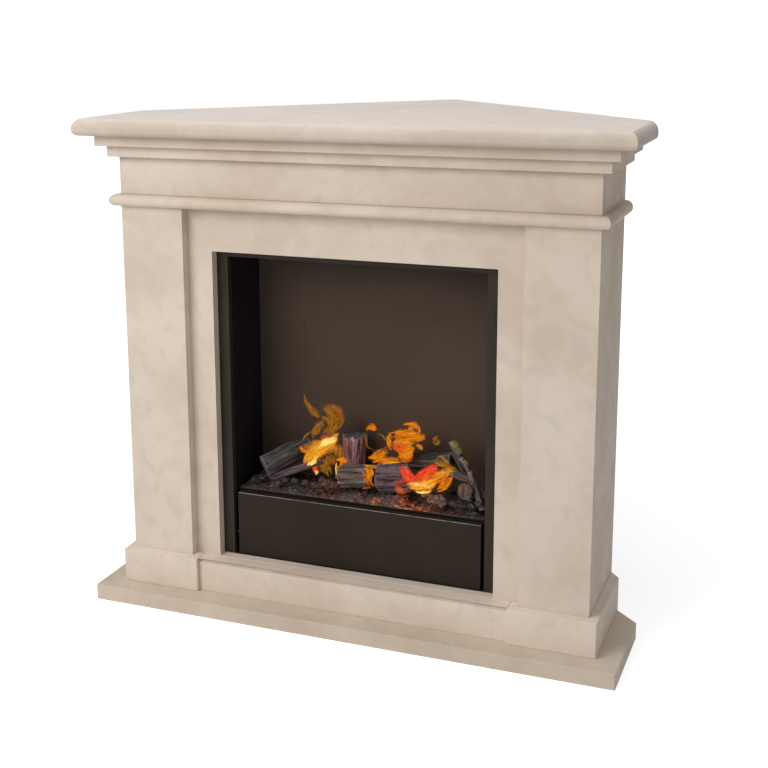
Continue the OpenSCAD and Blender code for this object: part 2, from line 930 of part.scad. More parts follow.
// Two channels: one on the side of the casing, one standing on the base pan
module drawer_runners() {
    color(zinc) {
        difference() {
            block([-side_in, runner_y0, runner_z0], [tray_x0 - runner_clear, runner_y1, runner_z1]);
            block([-side_in + sheet, runner_y0 - eps, runner_z0 + sheet],
                  [tray_x0, runner_y1 + eps, runner_z1 - sheet]);
        }
        difference() {
            block([tray_x1 + runner_clear, runner_y0, z_pan], [runner_x1, runner_y1, runner_z1]);
            block([tray_x1, runner_y0 - eps, runner_z0 + sheet],
                  [runner_x1 - sheet, runner_y1 + eps, runner_z1 - sheet]);
            block([tray_x1, runner_y0 - eps, z_pan + sheet],
                  [runner_x1 - sheet, runner_y1 + eps, runner_z0]);
        }
    }
}

module catch_magnets() {
    color(zinc) for (side = [-1, 1])
        block([side * magnet_x - magnet_s, drawer_y + sheet + gap, magnet_z - magnet_s / 2],
              [side * magnet_x + magnet_s, deck_front, magnet_z + magnet_s / 2]);
}

// Outline of a box with round corners
module round_plan(w, l, r) {
    translate([r, 0]) square([w - 2 * r, l]);
    translate([0, r]) square([w, l - 2 * r]);
    for (x = [r, w - r])
        for (y = [r, l - r]) translate([x, y]) circle(r);
}

module water_tank() {
    w = tank_x1 - tank_x0;
    l = tank_y1 - tank_y0;
    t = tank_wall;
    color([0.78, 0.82, 0.84]) difference() {
        union() {
            translate([tank_x0, tank_y0, tank_z]) linear_extrude(tank_h)
                round_plan(w, l, tank_corner);
            rod_z([neck_x, neck_y, tank_top - t], neck_r, neck_h + t);
            rod_y([spout_x, tank_y1 - t, spout_z], spout_r, spout_y1 - tank_y1 + t);
        }
        translate([tank_x0 + t, tank_y0 + t, tank_z + t]) linear_extrude(tank_h - 2 * t)
            round_plan(w - 2 * t, l - 2 * t, tank_corner - t);
        rod_z([neck_x, neck_y, tank_top - t - eps], neck_r - t, neck_h + t + 2 * eps);
        rod_y([spout_x, tank_y1 - t - eps, spout_z], spout_r - 2, spout_y1 - tank_y1 + t + 2 * eps);
    }
}

module tank_cap() {
    r = neck_r + gap + cap_wall;
    color(black_plastic) difference() {
        rod_z([neck_x, neck_y, tank_top + gap], r, neck_h + cap_wall);
        rod_z([neck_x, neck_y, tank_top + gap - eps], neck_r + gap, neck_h + eps);
        for (a = [0:30:330])
            translate([neck_x, neck_y, 0]) rotate([0, 0, a])
                rod_z([r + 0.8, 0, tank_top], 1.6, neck_h + cap_wall + eps);
    }
}

// ---- Works ----

// Open sump with a side arm that takes the tank's spout
module vapour_sump() {
    t = sump_wall;
    color([0.30, 0.31, 0.33]) difference() {
        union() {
            block([sump_x0, sump_y0, z_pan], [sump_x1, sump_y1, sump_top]);
            block([arm_x0, arm_y0, z_pan], [sump_x1, sump_y1, arm_top]);
        }
        block([sump_x0 + t, sump_y0 + t, z_pan + t], [sump_x1 - t, sump_y1 - t, sump_top + eps]);
        block([arm_x0 + t, arm_y0 + t, z_pan + t], [sump_x1 - t, sump_y1 - t, arm_top - t]);
        rod_y([spout_x, arm_y0 - eps, spout_z], spout_r + gap, t + 2 * eps);
        rod_x([sump_x1 - t - eps, fan_y, fan_z], bore_r, t + 2 * eps);
    }
}

module vapour_nozzle() {
    x = slot_l / 2 - duct_gap;
    y = slot_w / 2 - duct_gap;
    color([0.30, 0.31, 0.33]) difference() {
        union() {
            block([sump_x0, sump_y0, sump_top], [sump_x1, sump_y1, sump_top + cover_t]);
            block([vapour_x - x, vapour_y - y, sump_top],
                  [vapour_x + x, vapour_y + y, bed_top - 3]);
        }
        block([vapour_x - x + duct_wall, vapour_y - y + duct_wall, sump_top - eps],
              [vapour_x + x - duct_wall, vapour_y + y - duct_wall, bed_top]);
    }
}

module transducers() {
    color([0.72, 0.60, 0.32]) for (i = [-1, 0, 1])
        rod_z([vapour_x, vapour_y + 33 * i, z_pan + sump_wall], disc_r, disc_h);
}

module fan_housing() {
    s = fan_s / 2;
    color(black_plastic) difference() {
        union() {
            difference() {
                block([sump_x1, fan_y - s, fan_z - s], [fan_x1, fan_y + s, fan_z + s]);
                rod_x([sump_x1 - eps, fan_y, fan_z], bore_r, fan_t + 2 * eps);
            }
            rod_x([fan_x1 - fan_strut, fan_y, fan_z], fan_hub_r, fan_strut);
            block([fan_x1 - fan_strut, fan_y - 2, fan_z - bore_r - 1],
                  [fan_x1, fan_y + 2, fan_z + bore_r + 1]);
            block([fan_x1 - fan_strut, fan_y - bore_r - 1, fan_z - 2],
                  [fan_x1, fan_y + bore_r + 1, fan_z + 2]);
        }
        rod_x([fan_x1 - fan_strut - eps, fan_y, fan_z], fan_pin_r + run, fan_strut + 2 * eps);
    }
}

module fan_rotor() {
    x0 = sump_x1 + 3;
    l = fan_t - fan_strut - 4;
    color([0.35, 0.36, 0.38]) {
        rod_x([x0, fan_y, fan_z], fan_hub_r, l);
        rod_x([x0 + l - eps, fan_y, fan_z], fan_pin_r, fan_strut + 1 + eps);
        for (i = [0:fan_blades - 1])
            translate([x0 + l / 2, fan_y, fan_z]) rotate([i * 360 / fan_blades, 0, 0])
                rotate([0, 0, 55]) block([-l / 2 + 1, -0.75, 0], [l / 2 - 1, 0.75, rotor_r - 1]);
    }
}

module lamp_rail() {
    x = deck_half - sheet;
    color(zinc) difference() {
        block([-x, lamp_y - 8, lamp_rail_z], [x, lamp_y + 8, z_deck - 4]);
        block([-x + sheet, lamp_y - 8 - eps, lamp_rail_z + sheet],
              [x - sheet, lamp_y + 8 + eps, z_deck]);
        screw_holes();
    }
}

module lamps() {
    z = lamp_rail_z + sheet;
    color([0.95, 0.88, 0.70]) each_lamp() intersection() {
        union() {
            rod_z([0, 0, z], lamp_r, lamp_h - lamp_r);
            translate([0, 0, z + lamp_h - lamp_r]) sphere(lamp_r);
        }
        rod_z([0, 0, z], lamp_r + 1, lamp_h);
    }
}

module control_box() {
    t = control_wall;
    w = rocker_w / 2 + gap;
    h = rocker_h / 2 + 1.5;
    color(black_plastic) difference() {
        union() {
            difference() {
                block([control_x0, control_y0, z_pan], [control_x1, control_y1, control_top]);
                block([control_x0 + t, control_y0 + t, z_pan + t],
                      [control_x1 - t, control_y1 - t, control_top - t]);
            }
            for (side = [-1, 1])
                block([rocker_x + side * (w + 2) - 2, control_y0, switch_z - 6],
                      [rocker_x + side * (w + 2) + 2, rocker_y + 4, switch_z + 6]);
        }
        block([rocker_x - w, control_y0 - eps, switch_z - h],
              [rocker_x + w, control_y0 + t + eps, switch_z + h]);
        rod_x([rocker_x - w - 3, rocker_y, switch_z], pivot_r + run, 2 * w + 6);
        rod_y([knob_x, control_y0 - eps, switch_z], knob_shaft_r + run, t + 2 * eps);
    }
}

// Rocker, drawn with its foot pressed in: it tips the other way
module power_rocker() {
    w = rocker_w / 2;
    h = rocker_h / 2;
    color([0.55, 0.08, 0.06]) translate([rocker_x, rocker_y, switch_z])
        rotate([rocker_tilt, 0, 0]) {
            translate([-w, 0, 0]) rotate([90, 0, 90]) linear_extrude(rocker_w)
                polygon([[-7.5, -h], [-6.5, 0], [-7.5, h], [-2, h], [3.5, 4], [3.5, -4], [-2, -h]]);
            rod_x([-w - gap - 2.5, 0, 0], pivot_r, rocker_w + 2 * gap + 5);
        }
}

module flame_knob() {
    y0 = control_y0 - gap - knob_l;
    color(black_plastic) translate([knob_x, 0, switch_z]) {
        rod_y([0, y0, 0], knob_r, knob_l);
        rod_y([0, y0 + knob_l - eps, 0], knob_shaft_r, gap + control_wall + 4 + eps);
        block([-1.5, y0 - 1.5, -2], [1.5, y0 + eps, knob_r - 1]);
    }
}

module mains_inlet() {
    w = inlet_w / 2;
    h = inlet_h / 2;
    y1 = inlet_face + inlet_flange;
    color(black_plastic) translate([inlet_x, 0, inlet_z]) {
        difference() {
            union() {
                block([-w, control_y1, -h], [w, y1, h]);
                block([-w - 5, inlet_face, -h - 4], [w + 5, y1, h + 4]);
            }
            block([-w + inlet_wall, y1 - 16, -h + inlet_wall],
                  [w - inlet_wall, y1 + eps, h - inlet_wall]);
        }
        for (x = [-6, 0, 6]) block([x - 1, y1 - 16 - eps, -2], [x + 1, y1 - 3, 2]);
    }
}

placed() base_slab();
placed() left_plinth();
placed() right_plinth();
placed() skirting_band();
placed() left_pilaster();
placed() right_pilaster();
placed() left_side_panel();
placed() right_side_panel();
placed() front_panel();
placed() bead_front();
placed() bead_left_return();
placed() bead_right_return();
placed() frieze_front();
placed() frieze_left_return();
placed() frieze_right_return();
placed() lower_cornice();
placed() upper_cornice();
placed() mantel_shelf();
placed() left_rear_post();
placed() right_rear_post();
placed() corner_post();
placed() left_wall_rail();
placed() right_wall_rail();
placed() firebox_bearers();
placed() wood_screws();
placed() trim_frame();
placed() base_pan();
placed() casing_left();
placed() casing_right();
placed() casing_back();
placed() casing_top();
placed() chamber_back_panel();
placed() fire_deck();
placed() machine_screws();
placed() ember_tray();
placed() ember_bed();
placed() log_left();
placed() log_upright();
placed() log_front_left();
placed() log_front_right();
placed() log_back();
placed() branch_leaning();
placed() log_stub();
placed() drawer_front();
placed() drawer_tray();
placed() drawer_runners();
placed() catch_magnets();
placed() water_tank();
placed() tank_cap();
placed() vapour_sump();
placed() vapour_nozzle();
placed() transducers();
placed() fan_housing();
placed() fan_rotor();
placed() lamp_rail();
placed() lamps();
placed() control_box();
placed() power_rocker();
placed() flame_knob();
placed() mains_inlet();
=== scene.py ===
# Corner fireplace: a cast-stone surround that stands in a room corner, round an
# open-fronted electric fire whose flames are lit water vapour over ceramic logs.
import math
import random

import bmesh
import bpy
from mathutils import Matrix, Vector, noise


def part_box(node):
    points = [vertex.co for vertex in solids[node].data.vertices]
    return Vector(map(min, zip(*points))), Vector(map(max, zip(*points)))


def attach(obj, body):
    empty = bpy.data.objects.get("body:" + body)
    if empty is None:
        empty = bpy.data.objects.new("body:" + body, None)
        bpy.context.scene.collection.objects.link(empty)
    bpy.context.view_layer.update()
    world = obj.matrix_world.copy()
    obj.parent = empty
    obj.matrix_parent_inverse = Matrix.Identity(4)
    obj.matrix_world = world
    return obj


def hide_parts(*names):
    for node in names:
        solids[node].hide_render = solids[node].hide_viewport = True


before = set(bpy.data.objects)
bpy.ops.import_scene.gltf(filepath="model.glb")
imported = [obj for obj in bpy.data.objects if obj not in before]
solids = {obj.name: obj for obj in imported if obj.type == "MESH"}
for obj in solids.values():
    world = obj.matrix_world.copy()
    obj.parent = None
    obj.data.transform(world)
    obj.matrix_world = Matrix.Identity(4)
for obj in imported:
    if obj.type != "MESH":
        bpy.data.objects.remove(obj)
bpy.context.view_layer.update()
scene = bpy.context.scene


# ---- Camera ----
# It stands a step to the right of the fireplace, a little above the mantel shelf, and
# looks down at the hearth. The photograph is a crop, so its middle lies off the axis.
turn, tip, lean = math.radians(22.24), math.radians(11.98), math.radians(-0.54)
camera_at = Vector((0.89955, -2.56734, 1.18195))
ahead = Vector((-math.sin(turn) * math.cos(tip), math.cos(turn) * math.cos(tip), -math.sin(tip)))
level = Vector((math.cos(turn), math.sin(turn), 0))
upright = level.cross(ahead)
across = math.cos(lean) * level + math.sin(lean) * upright
up = math.cos(lean) * upright - math.sin(lean) * level

lens = bpy.data.cameras.new("camera")
lens.lens = 61.68
lens.sensor_width = 36
lens.shift_x = 0.0640
lens.shift_y = -0.1104
camera = bpy.data.objects.new("camera", lens)
place = Matrix((across, up, -ahead)).transposed().to_4x4()
place.translation = camera_at
camera.matrix_world = place
scene.collection.objects.link(camera)
scene.camera = camera


# ---- Studio: floor and lamps ----
# A wide sheet of white paper lies on the floor in a white room. A broad lamp hangs over
# the camera's left shoulder, a weak one fills from the right, a third hangs above.
paper_rings = (0.6, 1.5, 3.0, 6.0, 14.0)
paper_corners = 48
white_from, white_to = 0.9, 3.0
glow_seen, glow_mirrored = 0.62, 0.45
room_light = 0.23
room_tint = (0.97, 1.0, 1.04, 1)


def add_node(tree, kind, inputs=(), **settings):
    """A shader node; each input gets a value, or a link from another node's socket."""
    made = tree.nodes.new("ShaderNode" + kind)
    for name, value in settings.items():
        setattr(made, name, value)
    for key, value in dict(inputs).items():
        if isinstance(value, bpy.types.NodeSocket):
            tree.links.new(value, made.inputs[key])
        else:
            made.inputs[key].default_value = value
    return made


def object_place(tree):
    return add_node(tree, "TexCoord").outputs["Object"]


def maths(tree, kind, first, second=0.0):
    return add_node(tree, "Math", {0: first, 1: second}, operation=kind).outputs[0]


def spread(tree, value, low, high, to_low=0.0, to_high=1.0):
    made = add_node(tree, "MapRange", {0: value, 1: low, 2: high, 3: to_low, 4: to_high})
    return made.outputs[0]


def mix(tree, factor, low, high, kind="MIX"):
    made = add_node(tree, "Mix", {0: factor, 6: low, 7: high}, data_type="RGBA", blend_type=kind)
    return made.outputs[2]


def seen_directly(tree):
    """The light path's sockets, and a 1 for what the camera sees, also in metal or glass."""
    path = add_node(tree, "LightPath").outputs
    seen = maths(tree, "MAXIMUM", path["Is Camera Ray"], path["Is Glossy Ray"])
    return path, maths(tree, "MAXIMUM", seen, path["Is Transmission Ray"])


def add_piece(name, mesh_maker, *finishes, smooth=True):
    """A new object whose mesh mesh_maker fills in, in metres, in the frame's place."""
    mesh = bpy.data.meshes.new(name)
    shape = bmesh.new()
    mesh_maker(shape)
    bmesh.ops.recalc_face_normals(shape, faces=shape.faces)
    shape.to_mesh(mesh)
    shape.free()
    for finish in finishes:
        mesh.materials.append(finish)
    if smooth:
        mesh.polygons.foreach_set("use_smooth", [True] * len(mesh.polygons))
    piece = bpy.data.objects.new(name, mesh)
    scene.collection.objects.link(piece)
    return piece


def join_loops(shape, loops, around):
    """Faces between each ring of vertices and the next."""
    for near, far in zip(loops, loops[1:]):
        for i in range(around):
            shape.faces.new((near[i - 1], near[i], far[i], far[i - 1]))


def paper_floor(shape):
    turns = [math.radians(360 / paper_corners * i) for i in range(paper_corners)]
    rings = [[shape.verts.new((radius * math.cos(a), radius * math.sin(a), 0)) for a in turns]
             for radius in paper_rings]
    shape.faces.new(rings[0])
    join_loops(shape, rings, paper_corners)


def paper_finish():
    material = bpy.data.materials.new("white_paper")
    material.use_nodes = True
    tree = material.node_tree
    shader = tree.nodes["Principled BSDF"]
    shader.inputs["Base Color"].default_value = (0.86, 0.86, 0.86, 1)
    shader.inputs["Roughness"].default_value = 0.9
    shader.inputs["Emission Color"].default_value = (1, 1, 1, 1)
    path, seen = seen_directly(tree)
    away = add_node(tree, "VectorMath", {0: object_place(tree)}, operation="LENGTH")
    least = spread(tree, path["Is Camera Ray"], 0, 1, glow_mirrored, glow_seen)
    pale = spread(tree, away.outputs["Value"], white_from, white_to, least, 1.0)
    glow = maths(tree, "MULTIPLY", seen, pale)
    tree.links.new(glow, shader.inputs["Emission Strength"])
    return material


add_piece("paper_floor", paper_floor, paper_finish())


def hang_lamp(name, at, aim, size, watts, colour=(1, 1, 1)):
    lamp = bpy.data.lights.new(name, "AREA")
    lamp.color = colour
    lamp.shape = "RECTANGLE"
    lamp.size, lamp.size_y = size
    lamp.energy = watts
    hung = bpy.data.objects.new(name, lamp)
    hung.location = at
    hung.rotation_euler = (Vector(aim) - Vector(at)).to_track_quat("-Z", "Y").to_euler()
    scene.collection.objects.link(hung)


hang_lamp("key_lamp", (-1.7, -3.0, 2.3), (0, 0, 0.5), (2.4, 1.8), 79.5)
hang_lamp("fill_lamp", (2.4, -2.6, 1.6), (0, 0, 0.5), (2.0, 2.0), 5)
hang_lamp("top_lamp", (0.0, -0.4, 3.2), (0, 0, 0.9), (2.4, 2.4), 36, (0.96, 1.0, 1.08))

world = bpy.data.worlds.new("studio")
scene.world = world
world.use_nodes = True
air = world.node_tree
seen = seen_directly(air)[1]
air.links.new(spread(air, seen, 0, 1, room_light, 1.0), air.nodes["Background"].inputs["Strength"])
air.links.new(mix(air, seen, room_tint, (1, 1, 1, 1)), air.nodes["Background"].inputs["Color"])
scene.view_settings.view_transform = "Standard"


# ---- Cast-stone surround ----
# Beige cast stone, honed matt and faintly clouded, in separate boards and mouldings
# that are glued and screwed to a timber frame. The arrises are eased by hand.
slab_arris, board_arris = 0.0022, 0.0015
surround_clouds, slab_clouds = 4.2, 5.0
# How strongly the shelf's upward faces are painted paler: painted light on its top.
shelf_lit_top = 0.45
stone_relief = {"bump": (0.35, 0.0006), "specular": 0.35}


def effect_group(name, inputs, outputs=("Color", "Roughness", "Height")):
    """A node group for an effect that several finishes share, with its two end nodes."""
    group = bpy.data.node_groups.new(name, "ShaderNodeTree")
    for label, value in inputs.items():
        kind = "NodeSocketColor" if isinstance(value, tuple) else "NodeSocketFloat"
        socket = group.interface.new_socket(label, in_out="INPUT", socket_type=kind)
        socket.default_value = (*value, 1) if isinstance(value, tuple) else value
    for label in outputs:
        kind = "NodeSocketColor" if label == "Color" else "NodeSocketFloat"
        group.interface.new_socket(label, in_out="OUTPUT", socket_type=kind)
    given, out = group.nodes.new("NodeGroupInput"), group.nodes.new("NodeGroupOutput")
    return group, given.outputs, out.inputs


def new_finish(name, group, values, metallic=0.0, bump=(0.5, 0.001), specular=0.5):
    """A material whose colour, roughness and relief come from one of the effect groups."""
    material = bpy.data.materials.new(name)
    material.use_nodes = True
    tree = material.node_tree
    shader = tree.nodes["Principled BSDF"]
    shader.inputs["Metallic"].default_value = metallic
    shader.inputs["Specular IOR Level"].default_value = specular
    effect = tree.nodes.new("ShaderNodeGroup")
    effect.node_tree = group
    for label, value in values.items():
        effect.inputs[label].default_value = (*value, 1) if isinstance(value, tuple) else value
    tree.links.new(effect.outputs["Color"], shader.inputs["Base Color"])
    tree.links.new(effect.outputs["Roughness"], shader.inputs["Roughness"])
    strength, distance = bump
    relief = add_node(tree, "Bump", {"Strength": strength, "Distance": distance,
                                     "Height": effect.outputs["Height"]})
    tree.links.new(relief.outputs["Normal"], shader.inputs["Normal"])
    return material


def give_surface(tree, out, colour, roughness, height):
    """Links an effect's three results to its group's end."""
    for label, value in (("Color", colour), ("Roughness", roughness), ("Height", height)):
        tree.links.new(value, out[label])


def cloudy(tree, where, scale, detail=3.0, distortion=0.0):
    made = add_node(tree, "TexNoise", {"Vector": where, "Scale": scale, "Detail": detail,
                                       "Distortion": distortion})
    return made.outputs["Fac"]


def stretched(tree, where, *scale):
    return add_node(tree, "Mapping", {"Vector": where, "Scale": scale}).outputs[0]


stone_effect, given, out = effect_group(
    "cast_stone_clouding",
    {"Pale": (0.7, 0.6, 0.5), "Warm": (0.6, 0.48, 0.38), "Cool": (0.58, 0.5, 0.4),
     "Cloud Size": 4.0, "Lit Top Colour": (0.76, 0.675, 0.60), "Lit Top Share": 0.0})
tree = stone_effect
where = object_place(tree)
patches = cloudy(tree, where, given["Cloud Size"], 4, 0.6)
finer = cloudy(tree, where, maths(tree, "MULTIPLY", given["Cloud Size"], 5.3), 5, 0.9)
grain = cloudy(tree, where, 520, 2)
pits = cloudy(tree, where, 130, 3, 0.3)
tone = mix(tree, spread(tree, patches, 0.36, 0.64), given["Warm"], given["Pale"])
tone = mix(tree, spread(tree, finer, 0.50, 0.74, 0, 0.65), tone, given["Cool"])
tone = mix(tree, spread(tree, finer, 0.50, 0.24, 0, 0.55), tone, given["Pale"])
# Faces that point up are mixed towards a paler colour, by a share that each finish gives: painted
# light on the tops, which only the shelf uses.
facing = add_node(tree, "TexCoord").outputs["Normal"]
upward = spread(tree, add_node(tree, "SeparateXYZ", {0: facing}).outputs["Z"], 0.55, 0.98)
tone = mix(tree, maths(tree, "MULTIPLY", upward, given["Lit Top Share"]), tone, given["Lit Top Colour"])
shade = spread(tree, grain, 0.3, 0.7, 0.965, 1.03)
shade = add_node(tree, "CombineColor", {0: shade, 1: shade, 2: shade}).outputs[0]
relief = maths(tree, "ADD", maths(tree, "MULTIPLY", pits, 0.6), maths(tree, "MULTIPLY", grain, 0.4))
give_surface(tree, out, mix(tree, 1.0, tone, shade, "MULTIPLY"),
             spread(tree, finer, 0.3, 0.7, 0.62, 0.78), relief)

stone = new_finish(
    "cast_stone", stone_effect,
    {"Pale": (0.715, 0.605, 0.495), "Warm": (0.625, 0.500, 0.395), "Cool": (0.585, 0.500, 0.405),
     "Cloud Size": surround_clouds}, **stone_relief)
foot_stone = new_finish(
    "cast_stone_foot", stone_effect,
    {"Pale": (0.78, 0.66, 0.545), "Warm": (0.69, 0.555, 0.445), "Cool": (0.645, 0.55, 0.45),
     "Cloud Size": surround_clouds}, **stone_relief)
# The shelf's copy of the stone has darker colours: painted shade that takes back the light its
# rounded nosing catches.
shelf_stone = new_finish(
    "cast_stone_shelf", stone_effect,
    {"Pale": (0.635, 0.535, 0.440), "Warm": (0.560, 0.448, 0.355), "Cool": (0.525, 0.448, 0.363),
     "Cloud Size": surround_clouds, "Lit Top Share": shelf_lit_top}, **stone_relief)
slab_stone = new_finish(
    "cast_stone_slab", stone_effect,
    {"Pale": (0.65, 0.54, 0.425), "Warm": (0.57, 0.455, 0.35), "Cool": (0.54, 0.45, 0.36),
     "Cloud Size": slab_clouds}, **stone_relief)


def dress(finish, *names):
    """Gives solids their finish."""
    for name in names:
        slots = solids[name].data.materials
        slots.clear()
        slots.append(finish)


def ease_arrises(radius, *names, segments=2):
    """Rounds the sharp arrises of solids by a small radius."""
    for name in names:
        solid = solids[name]
        joined = solid.modifiers.new("joined_faces", "WELD")
        joined.merge_threshold = 2e-5
        eased = solid.modifiers.new("eased_arrises", "BEVEL")
        eased.width = radius
        eased.segments = segments
        eased.limit_method = "ANGLE"
        eased.angle_limit = math.radians(32)
        solid.modifiers.new("flat_faces", "WEIGHTED_NORMAL").keep_sharp = False


dress(stone, "left_pilaster", "right_pilaster", "left_side_panel", "right_side_panel",
      "front_panel", "bead_front", "bead_left_return", "bead_right_return", "frieze_front",
      "frieze_left_return", "frieze_right_return", "lower_cornice", "upper_cornice")
dress(shelf_stone, "mantel_shelf")
dress(foot_stone, "left_plinth", "right_plinth", "skirting_band")
dress(slab_stone, "base_slab")
ease_arrises(slab_arris, "base_slab", "left_plinth", "right_plinth", "mantel_shelf", segments=3)
ease_arrises(board_arris, "skirting_band", "left_pilaster", "right_pilaster", "front_panel",
             "frieze_front", "lower_cornice", "upper_cornice")


# ---- Timber frame ----
# Planed softwood posts, wall rails and bearers behind the stone, held by wood screws.
# They show only from behind.
post_arris = 0.0015
rings_across = 42.0

timber_effect, given, out = effect_group(
    "softwood_grain",
    {"Early Wood": (0.66, 0.5, 0.33), "Late Wood": (0.45, 0.29, 0.15), "Ring Size": 40.0})
tree = timber_effect
along = stretched(tree, object_place(tree), 1, 1, 0.08)
rings = cloudy(tree, along, given["Ring Size"], 3, 1.4)
fibre = cloudy(tree, along, 600, 3)
bands = spread(tree, maths(tree, "SINE", maths(tree, "MULTIPLY", rings, rings_across)), -1, 1)
tone = mix(tree, maths(tree, "MULTIPLY", bands, 0.75), given["Early Wood"], given["Late Wood"])
tone = mix(tree, spread(tree, fibre, 0.35, 0.75, 0, 0.3), tone, given["Late Wood"])
give_surface(tree, out, tone, spread(tree, bands, 0, 1, 0.72, 0.56),
             maths(tree, "ADD", maths(tree, "MULTIPLY", bands, 0.5), fibre))
softwood = new_finish("softwood", timber_effect,
                      {"Early Wood": (0.62, 0.46, 0.29), "Late Wood": (0.44, 0.27, 0.13)},
                      bump=(0.3, 0.0004), specular=0.3)
dress(softwood, "left_rear_post", "right_rear_post", "corner_post", "left_wall_rail",
      "right_wall_rail", "firebox_bearers")
ease_arrises(post_arris, "left_rear_post", "right_rear_post", "corner_post", "firebox_bearers")


# ---- Fire box ----
# Folded sheet steel with a matt black powder coat: the trim frame that shows inside
# the stone, the casing behind it, and the deck that the fuel bed stands on.
trim_arris = 0.0006
# Depth of the lighter band painted along the drawer's top front edge: a painted highlight.
highlight_band = 0.0009
nowhere = 9.0

coat_effect, given, out = effect_group(
    "powder_coat",
    {"Coat": (0.035, 0.030, 0.026), "Worn": (0.06, 0.052, 0.045), "Mottle Size": 6.0,
     "Sheen": 0.5, "Edge Highlight": (0.2, 0.18, 0.15), "Highlight Above": nowhere,
     "Highlight Before": nowhere})
tree = coat_effect
where = object_place(tree)
mottle = cloudy(tree, where, given["Mottle Size"], 3, 0.4)
orange_peel = cloudy(tree, where, 900, 2)
streaks = cloudy(tree, stretched(tree, where, 1, 1, 0.15), 60, 3)
tone = mix(tree, spread(tree, mottle, 0.35, 0.7, 0, 0.75), given["Coat"], given["Worn"])
tone = mix(tree, spread(tree, streaks, 0.55, 0.8, 0, 0.25), tone, given["Worn"])
# Above a given height and in front of a given depth, the coat is mixed towards a lighter colour in
# streaks: a painted highlight along a top front edge.
spot = add_node(tree, "SeparateXYZ", {0: where}).outputs
painted_highlight = maths(tree, "MULTIPLY", maths(tree, "GREATER_THAN", spot["Z"], given["Highlight Above"]),
             maths(tree, "LESS_THAN", spot["Y"], given["Highlight Before"]))
painted_highlight = maths(tree, "MULTIPLY", painted_highlight, spread(tree, streaks, 0.3, 0.6, 0.35, 1.0))
matt = maths(tree, "ADD", given["Sheen"], spread(tree, mottle, 0.3, 0.7, 0.06, -0.06))
give_surface(tree, out, mix(tree, painted_highlight, tone, given["Edge Highlight"]), matt, orange_peel)

drawer_low, drawer_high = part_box("drawer_front")
frame_coat = new_finish(
    "frame_coat", coat_effect,
    {"Coat": (0.028, 0.0205, 0.0150), "Worn": (0.039, 0.029, 0.022), "Sheen": 0.48},
    bump=(0.25, 0.0002), specular=0.15)
# The drawer front's top front edge gets the painted highlight.
drawer_coat = new_finish(
    "drawer_front_coat", coat_effect,
    {"Coat": (0.0240, 0.0168, 0.0115), "Worn": (0.0335, 0.0238, 0.0165), "Mottle Size": 3.5,
     "Sheen": 0.55, "Edge Highlight": (0.36, 0.32, 0.26), "Highlight Above": drawer_high.z - highlight_band,
     "Highlight Before": drawer_low.y + highlight_band},
    bump=(0.25, 0.0002), specular=0.1)
wall_coat = new_finish(
    "chamber_wall_coat", coat_effect,
    {"Coat": (0.073, 0.0500, 0.0352), "Worn": (0.103, 0.0708, 0.0502), "Mottle Size": 2.4,
     "Sheen": 0.6},
    bump=(0.2, 0.0002), specular=0.08)
side_coat = new_finish(
    "casing_side_coat", coat_effect,
    {"Coat": (0.0130, 0.0095, 0.0115), "Worn": (0.020, 0.0155, 0.0175), "Mottle Size": 5.0,
     "Sheen": 0.62},
    bump=(0.2, 0.0002), specular=0.06)
dress(frame_coat, "trim_frame")
dress(wall_coat, "chamber_back_panel")
dress(side_coat, "casing_left", "casing_right", "casing_top", "casing_back", "base_pan",
      "fire_deck")
ease_arrises(trim_arris, "trim_frame")

zinc_effect, given, out = effect_group(
    "zinc_plating", {"Bright": (0.62, 0.63, 0.65), "Dull": (0.42, 0.43, 0.44)})
tree = zinc_effect
where = object_place(tree)
spangle = add_node(tree, "TexVoronoi", {"Vector": where, "Scale": 260.0}).outputs["Distance"]
smears = cloudy(tree, where, 45, 4, 0.5)
tone = mix(tree, spread(tree, smears, 0.35, 0.7), given["Bright"], given["Dull"])
give_surface(tree, out, tone, spread(tree, spangle, 0, 0.7, 0.3, 0.46), smears)
zinc = new_finish("zinc_plate", zinc_effect, {}, metallic=1.0, bump=(0.1, 0.0001))
dress(zinc, "wood_screws", "machine_screws", "drawer_runners", "lamp_rail")


# ---- Water drawer ----
# The black panel below the fire is the front of a steel tray that runs out on rails
# with the water tank in it. The tank is milky moulded plastic with a screw cap.
drawer_arris = 0.0008
tank_clearness = 0.3

dress(drawer_coat, "drawer_front", "drawer_tray")
ease_arrises(drawer_arris, "drawer_front")

plastic_effect, given, out = effect_group(
    "moulded_plastic",
    {"Tint": (0.02, 0.02, 0.022), "Scuffed": (0.035, 0.035, 0.037), "Gloss": 0.45})
tree = plastic_effect
where = object_place(tree)
spark = cloudy(tree, where, 1400, 2)
rubbed = cloudy(tree, where, 28, 4, 0.6)
tone = mix(tree, spread(tree, rubbed, 0.42, 0.75), given["Tint"], given["Scuffed"])
matt = maths(tree, "ADD", given["Gloss"], spread(tree, rubbed, 0.3, 0.7, -0.05, 0.08))
give_surface(tree, out, tone, matt, spark)
black_plastic = new_finish("black_plastic", plastic_effect, {}, bump=(0.3, 0.0002))
tank_plastic = new_finish(
    "tank_plastic", plastic_effect,
    {"Tint": (0.60, 0.68, 0.72), "Scuffed": (0.64, 0.71, 0.745), "Gloss": 0.46},
    bump=(0.08, 0.0001))
shader = tank_plastic.node_tree.nodes["Principled BSDF"]
shader.inputs["Transmission Weight"].default_value = tank_clearness
magnet_grey = new_finish(
    "magnet_grey", zinc_effect, {"Bright": (0.3, 0.3, 0.31), "Dull": (0.2, 0.2, 0.21)},
    metallic=0.8, bump=(0.2, 0.0002))
dress(magnet_grey, "catch_magnets")
dress(tank_plastic, "water_tank")
dress(black_plastic, "tank_cap")


# ---- Vapour works, lamps and controls ----
# A grey plastic sump with two brass transducer discs makes the vapour, and a small fan
# lifts it through the nozzle. Four lamps below the embers light it; a box holds the
# switch and the flame knob.
lamp_glow, lamp_strength = (1.0, 0.5, 0.16, 1), 3.0

